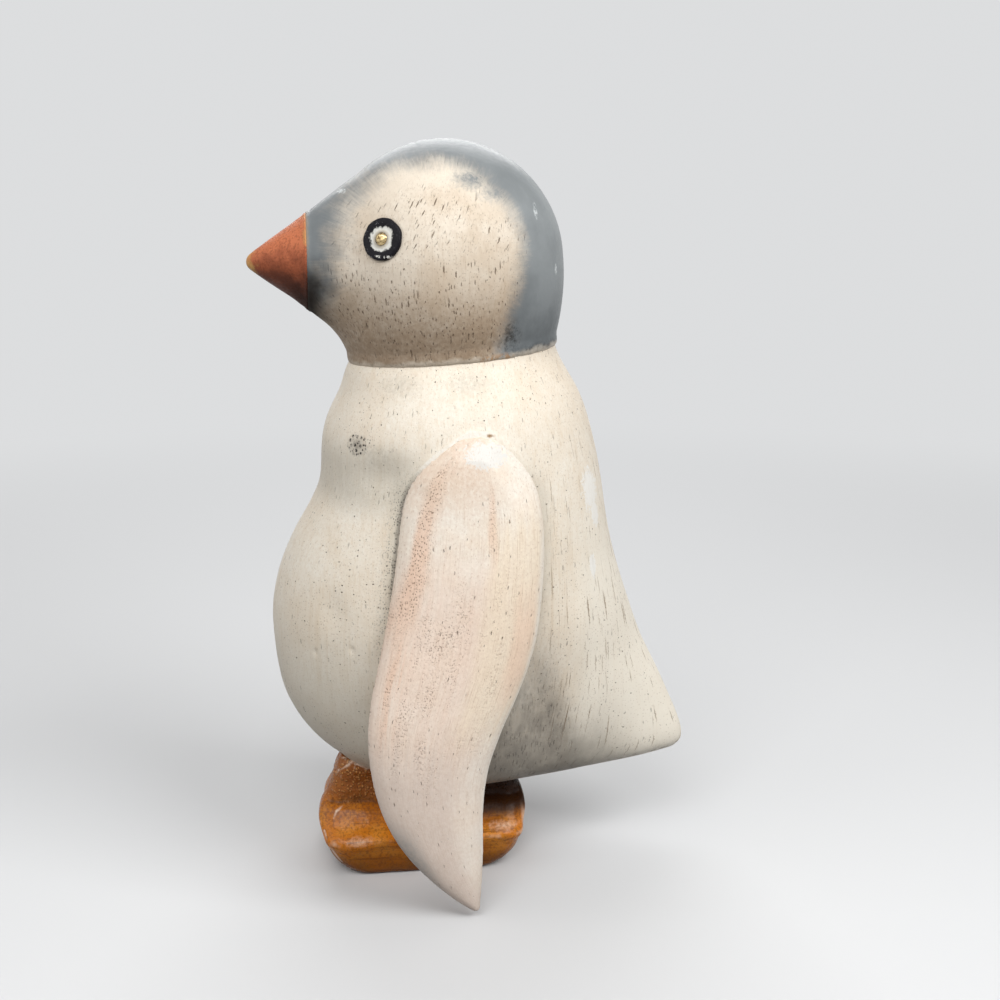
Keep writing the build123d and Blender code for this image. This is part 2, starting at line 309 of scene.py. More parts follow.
class Effects:
    """The shared effects, each built once as a node group."""

    def __init__(self) -> None:
        """Note each effect's inputs with their usual values, its result, and what lays out its nodes."""
        dash = {"At": ORIGIN, "Width": 1.5, "Length": 5.0, "Fill": 0.2}
        spot = {"At": ORIGIN, "Middle": ORIGIN, "Radii": (5.0,) * 3, "Ragged": 0.5, "Soft": 0.3}
        self.plans: dict[Effect, tuple[dict[str, float | Point], str, Callable[[Graph, Inputs], Socket]]] = {
            Effect.GRAIN: ({"At": ORIGIN, "Width": 1.0, "Length": 30.0}, "Streak", self.grain),
            Effect.FLECK: ({**dash, "Share": 0.3}, "Flecks", self.fleck),
            Effect.PORE: ({**dash, "Share": 0.5, "Lean": 0.0}, "Pores", self.pore),
            Effect.MOTTLE: ({"At": ORIGIN, "Size": 20.0}, "Cloud", self.mottle),
            Effect.SPOT: (spot, "Spot", self.spot),
            Effect.LINE: ({"At": ORIGIN, "From": ORIGIN, "To": (1.0,) * 3, "Width": 0.5}, "Line", self.line),
            Effect.GRIME_AND_SHADE: ({"At": ORIGIN, "Gap": 9.0, "Reach": 4.0}, "DirtAndShade", self.dirt_and_shade),
        }
        self.made: dict[Effect, bpy.types.NodeTree] = {}

    def group(self, effect: Effect) -> bpy.types.NodeTree:
        """Give an effect's node group, building it the first time.

        Args:
            effect: which effect.

        Returns:
            Its node group.
        """
        if effect in self.made:
            return self.made[effect]
        inputs, output, lay_out = self.plans[effect]
        tree = bpy.data.node_groups.new(effect.value, "ShaderNodeTree")
        for label, usual in inputs.items():
            kind = "NodeSocketVector" if isinstance(usual, tuple) else "NodeSocketFloat"
            tree.interface.new_socket(label, in_out="INPUT", socket_type=kind).default_value = usual
        tree.interface.new_socket(output, in_out="OUTPUT", socket_type="NodeSocketFloat")
        g = Graph(tree)
        entry = g.node("NodeGroupInput").outputs
        g.node("NodeGroupOutput", {0: lay_out(g, {label: entry[label] for label in inputs})})
        self.made[effect] = tree
        return tree

    def stretched(self, g: Graph, take: Inputs) -> Socket:
        """Give the place, divided by the width across and by the length upward."""
        return g.vector("DIVIDE", take["At"], g.join(take["Width"], take["Width"], take["Length"]))

    def grain(self, g: Graph, take: Inputs) -> Socket:
        """Draw long fine streaks up the wood, from 0 to 1."""
        return g.noise(self.stretched(g, take), 1.0, 4.0, 0.6)

    def fleck(self, g: Graph, take: Inputs) -> Socket:
        """Draw scattered dashes or dots, one to a cell, as a mask."""
        cells = g.node("ShaderNodeTexVoronoi", {"Vector": self.stretched(g, take), "Scale": 1.0})
        return self.drops(g, cells, take)

    def pore(self, g: Graph, take: Inputs) -> Socket:
        """Draw dashes or dots on an unrolled surface, one to a cell.

        Args:
            g: the group's graph.
            take: its inputs, of which Lean says how far the dashes slant.

        Returns:
            The mask.
        """
        x, _, z = g.split(take["At"])
        frayed = g.sway(g.noise(take["At"], 1.1, 2.0, 0.5), 0.7)
        x = g.plus(x, g.plus(frayed, g.both(z, take["Lean"])))
        flat = g.join(g.math("DIVIDE", x, take["Width"]), g.math("DIVIDE", z, take["Length"]), 0.0)
        cells = g.node("ShaderNodeTexVoronoi", {"Vector": flat, "Scale": 1.0}, voronoi_dimensions="2D")
        return self.drops(g, cells, take)

    def drops(self, g: Graph, cells: bpy.types.Node, take: Inputs) -> Socket:
        """Draw one drop in some of the cells.

        Args:
            g: the group's graph.
            cells: its cells.
            take: its inputs, of which Share says how many cells are taken and Fill how much of each.

        Returns:
            The mask.
        """
        lot = g.node("ShaderNodeSeparateColor", {0: cells.outputs["Color"]}).outputs
        taken = g.math("LESS_THAN", lot[0], take["Share"])
        reach = g.both(take["Fill"], g.fit(lot[1], 0.5, 1.3))
        inner = g.both(reach, 0.45)
        return g.both(g.span(cells.outputs["Distance"], reach, inner), taken)

    def mottle(self, g: Graph, take: Inputs) -> Socket:
        """Draw cloudy patches from 0 to 1."""
        return g.span(g.noise(take["At"], g.math("DIVIDE", 1.0, take["Size"]), 4.0, 0.55), 0.3, 0.7)

    def spot(self, g: Graph, take: Inputs) -> Socket:
        """Draw one spot with a ragged edge.

        Args:
            g: the group's graph.
            take: its inputs, of which Soft says how far inward the edge fades.

        Returns:
            The mask.
        """
        away = g.vector("DIVIDE", g.vector("SUBTRACT", take["At"], take["Middle"]), take["Radii"])
        tear = g.minus(g.noise(take["At"], 0.7, 4.0, 0.65), 0.5)
        edge = g.plus(g.length(away), g.both(tear, take["Ragged"]))
        return g.span(edge, 1.0, g.minus(1.0, take["Soft"]))

    def line(self, g: Graph, take: Inputs) -> Socket:
        """Draw a thin straight line between two points.

        Args:
            g: the group's graph.
            take: its inputs, of which Width is half the line's width.

        Returns:
            The mask.
        """
        way = g.vector("SUBTRACT", take["To"], take["From"])
        away = g.vector("SUBTRACT", take["At"], take["From"])
        share = g.math("DIVIDE", g.dot(away, way), g.dot(way, way), clamp=True)
        near = g.node("ShaderNodeVectorMath", {0: way, "Scale": share}, operation="SCALE").outputs["Vector"]
        apart = g.length(g.vector("SUBTRACT", away, near))
        return g.span(apart, take["Width"], g.both(take["Width"], 0.3))

    def dirt_and_shade(self, g: Graph, take: Inputs) -> Socket:
        """Draw a mask that fades out from where a piece meets its neighbour, for dirt in the joint and for painted
        shade beside it.
        """
        reach = g.both(take["Reach"], g.fit(g.noise(take["At"], 0.35, 5.0, 0.7), 0.1, 1.9))
        return g.span(take["Gap"], reach, 0.0)


EFFECTS = Effects()


@dataclass
class Surface:
    """What a finish sends to its shader."""

    color: Socket
    rough: Socket
    height: Socket
    others: dict[str, Feed] = field(default_factory=dict)


@dataclass(frozen=True)
class Finish:
    """A paint, varnish or metal, as a node material. Its relief is in millimetres."""

    name: str
    relief: float = 0.2
    specular: float = 0.28

    def paint(self, g: Graph) -> Surface:
        """Lay out the finish's nodes.

        Args:
            g: the material's graph.

        Returns:
            What goes to the shader.
        """
        raise NotImplementedError

    def material(self) -> bpy.types.Material:
        """Give the finish's material, building it the first time.

        Returns:
            The material.
        """
        found = bpy.data.materials.get(self.name)
        if found:
            return found
        made = bpy.data.materials.new(self.name)
        g = empty_graph(made)
        surface = self.paint(g)
        bump = g.node("ShaderNodeBump", {"Height": surface.height, "Distance": self.relief * MM})
        feeds = {
            "Base Color": surface.color,
            "Roughness": surface.rough,
            "Specular IOR Level": self.specular,
            "Normal": bump.outputs[0],
        }
        shader = g.node("ShaderNodeBsdfPrincipled", {**feeds, **surface.others})
        g.node("ShaderNodeOutputMaterial", {"Surface": shader.outputs[0]})
        return made


@dataclass(frozen=True)
class BodyWhitewash(Finish):
    """Cream whitewash worked into the body, with open pores, cracks up the back, dirt in the joints, painted shade low
    down and round the flippers, and a paler back that is partly painted light.
    """

    name: str = "body_whitewash"
    relief: float = 0.22
    cream: Rgb = (0.80, 0.71, 0.585)
    ivory: Rgb = (0.855, 0.80, 0.70)
    ochre: Rgb = (0.66, 0.52, 0.36)
    pore: Rgb = (0.10, 0.075, 0.05)
    crack: Rgb = (0.30, 0.205, 0.125)
    soot_and_shadow: Rgb = (0.035, 0.03, 0.025)
    # Grey-green for painted shade on the lower belly, in the chest crease, low on the body, beside the flippers and in
    # grey patches on the chest
    shade_grey: Rgb = (0.50, 0.46, 0.38)
    white: Rgb = (0.87, 0.85, 0.80)
    rust: Rgb = (0.30, 0.17, 0.07)
    # Dark grey for the knot's halo and for painted shade on the flank behind the flippers
    knot_grey_and_shade: Rgb = (0.24, 0.215, 0.18)
    # Paler tone for the tail and back, partly paler paint and partly painted light
    tone_and_painted_light: Rgb = (0.87, 0.81, 0.695)
    middle_y: float = -5.0
    radius: float = 48.0
    grey_patches: tuple[Point, ...] = ((34.4, -30.9, 189.8), (40.3, -6.9, 191.0), (38.4, -38.6, 165.0))
    knot: Point = (30.7, -46.3, 168.1)
    patches: tuple[tuple[float, float, float, float], ...] = (
        (124.6, 149.0, 5.2, 7.6),
        (126.4, 140.0, 2.6, 5.2),
        (121.8, 121.0, 1.8, 4.4),
    )
    chip: Point = (47.5, -0.6, 173.0)

    def torn(self, g: Graph, flat: Socket, tear: Socket, patch: tuple[float, float, float, float]) -> Socket:
        """Paint one torn patch.

        Args:
            g: the material's graph.
            flat: the unrolled place.
            tear: how ragged its edge is there.
            patch: its place round the body, its height, and half its width and height.

        Returns:
            The mask.
        """
        around, level, half_width, half_height = patch
        x, _, z = g.split(flat)
        aside = g.both(g.math("ABSOLUTE", g.minus(x, around)), 1.0 / half_width)
        above = g.both(g.math("ABSOLUTE", g.minus(z, level)), 1.0 / half_height)
        return g.span(g.plus(g.length(g.join(aside, above, 0.0)), tear), 1.12, 0.84)

    def paint(self, g: Graph) -> Surface:
        """Lay out the finish's nodes.

        Args:
            g: the material's graph.

        Returns:
            What goes to the shader.
        """
        at = g.place()
        flat = g.wrap(at, self.middle_y, self.radius, 0.0)
        _, y, z = g.split(at)
        cloud = g.effect(Effect.MOTTLE, At=at, Size=30.0)
        tooth = g.effect(Effect.MOTTLE, At=at, Size=1.3)
        streak = g.effect(Effect.GRAIN, At=at, Width=0.8, Length=30.0)
        brush = g.effect(Effect.GRAIN, At=at, Width=4.5, Length=60.0)
        fibre = g.effect(Effect.GRAIN, At=at, Width=1.3, Length=14.0)
        flipper_gap = g.attribute("flipper_gap")
        neck_gap = g.attribute("neck_gap")
        back = g.both(g.span(y, 8.0, 34.0), g.span(z, 178.0, 150.0))
        belly = g.both(g.span(y, -20.0, -42.0), g.span(z, 120.0, 60.0))
        crease = g.both(g.band(z, 140.0, 152.0, 160.0, 172.0), g.span(y, -18.0, -34.0))

        color = g.mix(cloud, self.cream, self.ivory)
        color = g.coat(color, self.ochre, g.span(brush, 0.48, 0.75), 0.3)
        color = g.coat(color, self.ochre, g.span(streak, 0.5, 0.72), 0.34)
        color = g.coat(color, self.ochre, tooth, 0.2)
        # A paler tail and lower back: partly paler paint, partly painted light
        tone_and_painted_light = g.both(g.span(y, 27.0, 40.0), g.span(z, 160.0, 110.0))
        color = g.coat(color, self.tone_and_painted_light, tone_and_painted_light, g.fit(streak, 1.0, 0.55))
        # Painted shade: the lower belly, the chest crease and the lowest band of the body are darkened
        color = g.coat(color, self.shade_grey, belly, 0.6)
        color = g.coat(color, self.shade_grey, crease, g.fit(fibre, 0.3, 0.75))
        color = g.coat(color, self.shade_grey, g.span(z, 62.0, 36.0), g.span(y, 66.0, 44.0), 0.5)
        # Soft grey patches on the chest and in its crease: painted shade with a little mottling
        for middle in self.grey_patches:
            grey_patch = g.effect(Effect.SPOT, At=at, Middle=middle, Radii=(13.0, 12.0, 6.0), Ragged=1.2, Soft=0.95)
            color = g.coat(color, self.shade_grey, grey_patch, g.fit(tooth, 0.15, 0.5))

        bundles = g.span(g.effect(Effect.GRAIN, At=at, Width=6.0, Length=90.0), 0.38, 0.52)
        long = g.effect(Effect.PORE, At=flat, Width=2.2, Length=62.0, Lean=0.05, Share=0.8, Fill=0.11)
        hair = g.effect(Effect.PORE, At=flat, Width=1.1, Length=30.0, Lean=0.05, Share=0.75, Fill=0.14)
        cracks = g.both(g.either(g.both(long, 0.95), g.both(hair, 0.7)), bundles, back)
        color = g.coat(color, self.crack, cracks)

        more = g.plus(g.both(crease, 0.4), 0.3)
        dashes = g.effect(Effect.PORE, At=flat, Width=1.9, Length=9.5, Share=more, Fill=0.11)
        dots = g.effect(Effect.PORE, At=flat, Width=1.9, Length=2.2, Share=g.fit(cloud, 0.2, 0.04), Fill=0.13)
        holes = g.either(g.both(dashes, g.fit(fibre, -0.1, 1.0)), dots)
        color = g.coat(color, self.pore, holes, 0.85)
        grit = g.effect(Effect.PORE, At=flat, Width=0.9, Length=1.4, Share=0.6, Fill=0.22)
        color = g.coat(color, self.crack, grit, g.fit(cloud, 0.42, 0.16))

        groove = g.effect(Effect.GRIME_AND_SHADE, At=at, Gap=flipper_gap, Reach=7.0)
        slit = g.effect(Effect.GRIME_AND_SHADE, At=at, Gap=flipper_gap, Reach=1.8)
        stipple = g.effect(Effect.PORE, At=flat, Width=0.8, Length=1.0, Share=0.7, Fill=0.36)
        leading = g.both(g.span(y, -12.0, -24.0), g.band(z, 60.0, 95.0, 150.0, 165.0))
        # Painted shade: a wide grey band on the body beside each flipper, below its top
        color = g.coat(color, self.shade_grey, groove, g.span(z, 170.0, 150.0), 0.45)
        color = g.coat(color, self.soot_and_shadow, groove, leading, stipple, 0.7)
        color = g.coat(color, self.soot_and_shadow, slit, leading, 0.5)
        # A thin white line along the lip over the flipper's top: whitewash build-up with a painted highlight
        lip = g.both(g.span(flipper_gap, 1.1, 0.5), g.span(z, 158.0, 164.0), g.span(y, 4.0, -6.0))
        color = g.coat(color, self.white, lip, g.fit(tooth, 0.6, 0.25))

        # Painted shade and shadow: the flank behind the flipper and low down is darkened in patches, with dark streaks
        # in it
        past = g.plus(y, g.both(z, 0.27))
        behind = g.both(g.span(past, 53.0, 40.0), g.span(y, -9.0, 1.0), g.span(z, 106.0, 66.0))
        tucked = g.both(g.span(past, 80.0, 44.0), g.span(y, -14.0, -2.0), g.span(z, 70.0, 44.0))
        patchy_shade = g.effect(Effect.MOTTLE, At=at, Size=6.0)
        color = g.coat(color, self.knot_grey_and_shade, behind, g.fit(patchy_shade, 0.65, 0.95), g.fit(fibre, 0.7, 1.15))
        color = g.coat(color, self.knot_grey_and_shade, tucked, g.fit(patchy_shade, 0.5, 0.75))
        split = g.effect(Effect.PORE, At=flat, Width=1.1, Length=6.0, Share=0.65, Fill=0.2)
        color = g.coat(color, self.soot_and_shadow, split, behind, g.fit(patchy_shade, 0.0, 0.45))
        chewed = g.effect(Effect.PORE, At=flat, Width=1.6, Length=1.2, Share=0.55, Fill=0.32)
        tail_edge = g.both(g.band(z, 34.0, 36.0, 37.5, 40.0), g.span(y, 0.0, 20.0))
        color = g.coat(color, self.crack, chewed, tail_edge, 0.7)

        seam = g.effect(Effect.GRIME_AND_SHADE, At=at, Gap=neck_gap, Reach=1.8)
        color = g.coat(color, self.crack, seam, 0.22)

        round_knot = g.effect(Effect.SPOT, At=at, Middle=self.knot, Radii=(7.5, 6.0, 5.0), Ragged=0.6, Soft=0.6)
        knot_dots = g.effect(Effect.PORE, At=flat, Width=1.35, Length=1.6, Share=0.95, Fill=0.46)
        clump = g.span(g.noise(at, 0.55, 3.0, 0.65), 0.42, 0.56)
        core = g.effect(Effect.SPOT, At=at, Middle=self.knot, Radii=(3.4, 2.6, 2.2), Ragged=1.8, Soft=0.7)
        knot_dots = g.both(knot_dots, g.span(round_knot, 0.1, 0.55), g.fit(clump, 0.25, 1.0))
        knot_dots = g.either(knot_dots, g.both(core, 0.35))
        color = g.coat(color, self.knot_grey_and_shade, round_knot, 0.3)
        color = g.coat(color, self.soot_and_shadow, knot_dots)

        tear = g.sway(g.noise(at, 0.5, 6.0, 0.8), 3.2)
        fresh = g.either(*(self.torn(g, flat, tear, patch) for patch in self.patches))
        color = g.coat(color, self.white, fresh, g.fit(streak, 1.2, 0.5))
        small_mark = g.effect(Effect.SPOT, At=at, Middle=self.chip, Radii=(3.0, 2.2, 0.9), Ragged=1.6, Soft=0.8)
        color = g.coat(color, self.rust, small_mark)

        pits = g.either(holes, knot_dots, g.both(cracks, 0.6), g.both(split, behind))
        skin = g.both(g.noise(at, 1.3, 3.0, 0.6), 0.5)
        height = g.minus(g.plus(skin, g.both(streak, 0.4)), pits)
        rough = g.plus(g.fit(cloud, 0.42, 0.56), g.both(pits, 0.2))
        return Surface(color, rough, height)


@dataclass(frozen=True)
class HeadPaint(Finish):
    """A cream face with open pores, under a brushed blue-grey cap that feathers out at its edge."""

    name: str = "capped_head"
    specular: float = 0.15
    face: Rgb = (0.64, 0.535, 0.415)
    pale: Rgb = (0.76, 0.68, 0.57)
    tan: Rgb = (0.46, 0.345, 0.24)
    umber: Rgb = (0.20, 0.14, 0.09)
    pore: Rgb = (0.14, 0.098, 0.062)
    cap: Rgb = (0.215, 0.231, 0.236)
    cap_light: Rgb = (0.278, 0.297, 0.302)
    scuff_and_sheen_white: Rgb = (0.70, 0.73, 0.73)
    shade: Rgb = (0.10, 0.112, 0.118)
    # Near black, for smudges and for painted shadow under the beak
    soot_and_shadow: Rgb = (0.02, 0.016, 0.013)
    rust: Rgb = (0.42, 0.22, 0.09)
    axis_y: float = -11.5
    radius: float = 42.0
    lean_z: float = 234.0
    smear: Point = (35.8, 8.0, 206.5)
    bluing: tuple[Point, ...] = ((30.5, -5.0, 260.5), (31.0, 4.0, 256.0))
    scuffs_and_sheen: tuple[tuple[Point, Point], ...] = (
        ((26.5, 18.2, 249.0), (3.0, 1.0, 7.0)),
        ((22.5, 26.4, 229.0), (3.0, 0.8, 2.6)),
        ((9.0, -49.0, 256.5), (6.0, 3.0, 1.2)),
    )

    def paint(self, g: Graph) -> Surface:
        """Lay out the finish's nodes.

        Args:
            g: the material's graph.

        Returns:
            What goes to the shader.
        """
        at = g.place()
        _, y, z = g.split(at)
        inside = g.attribute("cap")
        neck_gap = g.attribute("neck_gap")
        cloud = g.effect(Effect.MOTTLE, At=at, Size=16.0)
        fine = g.effect(Effect.MOTTLE, At=at, Size=1.6)
        flat = g.wrap(at, self.axis_y, self.radius, self.lean_z)
        streak = g.effect(Effect.GRAIN, At=at, Width=0.7, Length=12.0)

        low = g.span(z, 236.0, 200.0)
        throat = g.both(g.span(z, 226.0, 206.0), g.span(y, -26.0, -44.0))
        color = g.mix(cloud, self.face, self.pale)
        color = g.coat(color, self.tan, g.span(streak, 0.5, 0.72), 0.4)
        # The lower head is darkened: brown dirt with painted shade under the head's overhang
        color = g.coat(color, self.tan, low, g.fit(cloud, 0.9, 0.5))
        color = g.coat(color, self.umber, g.span(z, 230.0, 202.0), g.fit(fine, 0.5, 0.85))
        color = g.coat(color, self.tan, fine, 0.18)

        lower = g.either(low, throat)
        lean = g.both(g.span(z, self.lean_z, self.lean_z + 6.0), -0.4)
        patchy = g.span(g.noise(at, 0.075, 3.0, 0.6), 0.42, 0.60)
        broad = g.effect(Effect.PORE, At=flat, Width=2.1, Length=11.0, Lean=lean, Share=0.62, Fill=0.15)
        slim = g.effect(Effect.PORE, At=flat, Width=1.3, Length=6.5, Lean=lean, Share=0.6, Fill=0.17)
        short = g.effect(Effect.PORE, At=flat, Width=1.15, Length=2.6, Share=g.both(lower, 0.75), Fill=0.24)
        faint = g.span(g.noise(at, 0.7, 2.0, 0.5), 0.34, 0.62)
        slim = g.both(slim, g.fit(faint, 0.0, 0.9), g.fit(patchy, 0.35, 1.0))
        pores = g.either(g.both(broad, patchy), slim, g.both(short, faint))
        color = g.coat(color, self.pore, pores, 0.88)
        grit = g.effect(Effect.PORE, At=flat, Width=0.9, Length=1.5, Share=0.6, Fill=0.22)
        color = g.coat(color, self.umber, grit, 0.38)

        angle = g.math("ARCTAN2", g.minus(z, CHEEK_Z), g.minus(y, CHEEK_Y))
        hair = g.noise(g.join(g.both(angle, 33.0), g.both(inside, 0.22), 0.0), 1.25, 4.0, 0.66)
        wander = g.noise(at, 0.11, 2.0, 0.5)
        edge = g.plus(inside, g.sway(hair, 4.6))
        edge = g.plus(edge, g.sway(wander, 6.0))
        halo = g.both(g.band(edge, -12.0, -5.0, -1.0, 3.0), g.span(z, 240.0, 258.0))
        color = g.coat(color, self.pale, halo, 0.6)
        grey = g.span(edge, -5.0, 4.2)
        for middle in self.bluing:
            blue = g.effect(Effect.SPOT, At=at, Middle=middle, Radii=(14.0, 10.0, 5.6), Ragged=1.0, Soft=0.95)
            grey = g.either(grey, g.both(blue, g.fit(streak, 0.5, 1.3)))
        gullet = g.both(g.span(z, 222.0, 213.0), g.span(y, -26.0, -36.0))
        grey = g.both(grey, g.fit(gullet, 1.0, 0.12))
        tone = g.mix(g.fit(cloud, 0.1, 0.9), self.cap, self.cap_light)
        nape = g.both(g.span(z, 234.0, 206.0), g.span(y, -6.0, 10.0))
        tone = g.coat(tone, self.shade, nape, g.fit(cloud, 0.85, 0.45))
        brow = g.either(g.span(z, 252.0, 270.0), g.span(y, -34.0, -52.0))
        tone = g.coat(tone, self.shade, brow, 0.46)
        color = g.coat(color, tone, grey)

        # Whitish streaks on the cap: scuffs with a painted sheen highlight
        spots = [{"Middle": middle, "Radii": radii} for middle, radii in self.scuffs_and_sheen]
        scuffs_and_sheen = g.either(*(g.effect(Effect.SPOT, At=at, Ragged=1.4, Soft=0.6, **spot) for spot in spots))
        scuffs_and_sheen = g.both(scuffs_and_sheen, g.span(g.noise(at, 0.8, 4.0, 0.7), 0.42, 0.62))
        color = g.coat(color, self.scuff_and_sheen_white, scuffs_and_sheen, 0.75)

        blot = g.span(g.noise(at, 0.55, 4.0, 0.7), 0.40, 0.62)
        black = g.effect(Effect.SPOT, At=at, Middle=self.smear, Radii=(6.0, 5.5, 9.0), Ragged=1.6, Soft=0.95)
        streaked = g.both(g.span(neck_gap, 4.5, 0.5), g.span(y, 9.0, 16.0))
        color = g.coat(color, self.soot_and_shadow, g.either(black, streaked), g.fit(blot, 0.15, 0.8))

        # Painted shadow with some smudge: the chin under the beak is near black
        beak_gap = g.attribute("beak_gap")
        smear = g.sway(cloud, 4.0)
        chin_shadow_and_smudge = g.both(g.span(g.plus(beak_gap, smear), 13.0, 3.0), g.span(g.plus(z, smear), 235.0, 222.0))
        color = g.coat(color, self.soot_and_shadow, chin_shadow_and_smudge)
        rim = g.both(g.effect(Effect.GRIME_AND_SHADE, At=at, Gap=beak_gap, Reach=1.2), g.span(z, 230.0, 240.0))
        color = g.coat(color, self.tan, rim, 0.5)

        seam = g.effect(Effect.GRIME_AND_SHADE, At=at, Gap=neck_gap, Reach=2.4)
        color = g.coat(color, self.umber, seam, 0.25)
        overlap = g.plus(neck_gap, g.sway(g.noise(at, 0.22, 4.0, 0.65), 4.5))
        color = g.coat(color, self.pale, g.span(overlap, 2.4, 0.2), 0.6)
        stain = g.both(g.span(neck_gap, 2.6, 0.4), g.band(y, -6.0, 1.0, 7.0, 11.0), g.span(fine, 0.3, 0.7))
        color = g.coat(color, self.rust, stain, 0.7)

        bare = g.minus(1.0, grey)
        pits = g.both(pores, bare)
        tooth = g.both(g.noise(at, 1.4, 3.0, 0.6), 0.4, g.fit(bare, 0.25, 1.0))
        height = g.minus(g.plus(tooth, g.both(streak, bare, 0.4)), pits)
        worn = g.plus(g.fit(bare, 0.36, 0.52), g.fit(fine, -0.04, 0.06))
        rough = g.plus(worn, g.both(chin_shadow_and_smudge, 0.35))
        return Surface(color, rough, height)


@dataclass(frozen=True)
class BeakPaint(Finish):
    """Terracotta paint, bright above, with painted shade turning it brown and near black below, and wearing to ochre
    at the tip.
    """

    name: str = "terracotta_beak"
    relief: float = 0.16
    specular: float = 0.12
    orange: Rgb = (0.56, 0.175, 0.08)
    brick: Rgb = (0.36, 0.10, 0.045)
    brown: Rgb = (0.115, 0.034, 0.018)
    soot_and_shadow: Rgb = (0.018, 0.009, 0.007)
    ochre: Rgb = (0.62, 0.36, 0.13)
    axis_z: float = 231.4
    seat_y: float = -61.8
    tip_y: float = -83.9

    def paint(self, g: Graph) -> Surface:
        """Lay out the finish's nodes.

        Args:
            g: the material's graph.

        Returns:
            What goes to the shader.
        """
        at = g.place()
        _, y, z = g.split(at)
        cloud = g.effect(Effect.MOTTLE, At=at, Size=6.0)
        fine = g.effect(Effect.MOTTLE, At=at, Size=0.9)
        ragged = g.sway(cloud, 5.0)
        level = g.plus(g.minus(z, self.axis_z), ragged)
        # Painted shade: the beak darkens to brick and brown toward its underside
        color = g.mix(g.span(level, 8.0, -1.0), self.orange, self.brick)
        color = g.coat(color, self.brown, g.span(level, 3.0, -8.0))
        color = g.coat(color, self.brown, g.span(fine, 0.45, 0.9), 0.35)
        specks = g.effect(Effect.FLECK, At=at, Width=0.8, Length=0.9, Share=0.35, Fill=0.25)
        color = g.coat(color, self.brown, specks, g.span(level, 6.0, -6.0), 0.6)
        # Painted shadow with some smudge: the underside near the head is near black
        shadow_and_smudge_below = g.both(g.span(y, self.tip_y + 9.0, self.seat_y), g.span(level, -2.0, -12.0))
        color = g.coat(color, self.soot_and_shadow, shadow_and_smudge_below, 0.92)
        tip = g.span(g.plus(y, ragged), self.tip_y + 4.5, self.tip_y + 0.5)
        color = g.coat(color, self.ochre, tip, 0.85)
        near_seat = g.plus(y, g.both(ragged, 0.3))
        base = g.both(g.span(near_seat, self.seat_y - 1.4, self.seat_y), g.span(level, 2.0, 8.0))
        color = g.coat(color, self.ochre, base, 0.55)
        height = g.minus(g.noise(at, 1.6, 4.0, 0.65), g.both(specks, 0.6))
        rough = g.plus(g.fit(fine, 0.36, 0.54), g.both(shadow_and_smudge_below, 0.3))
        return Surface(color, rough, height)


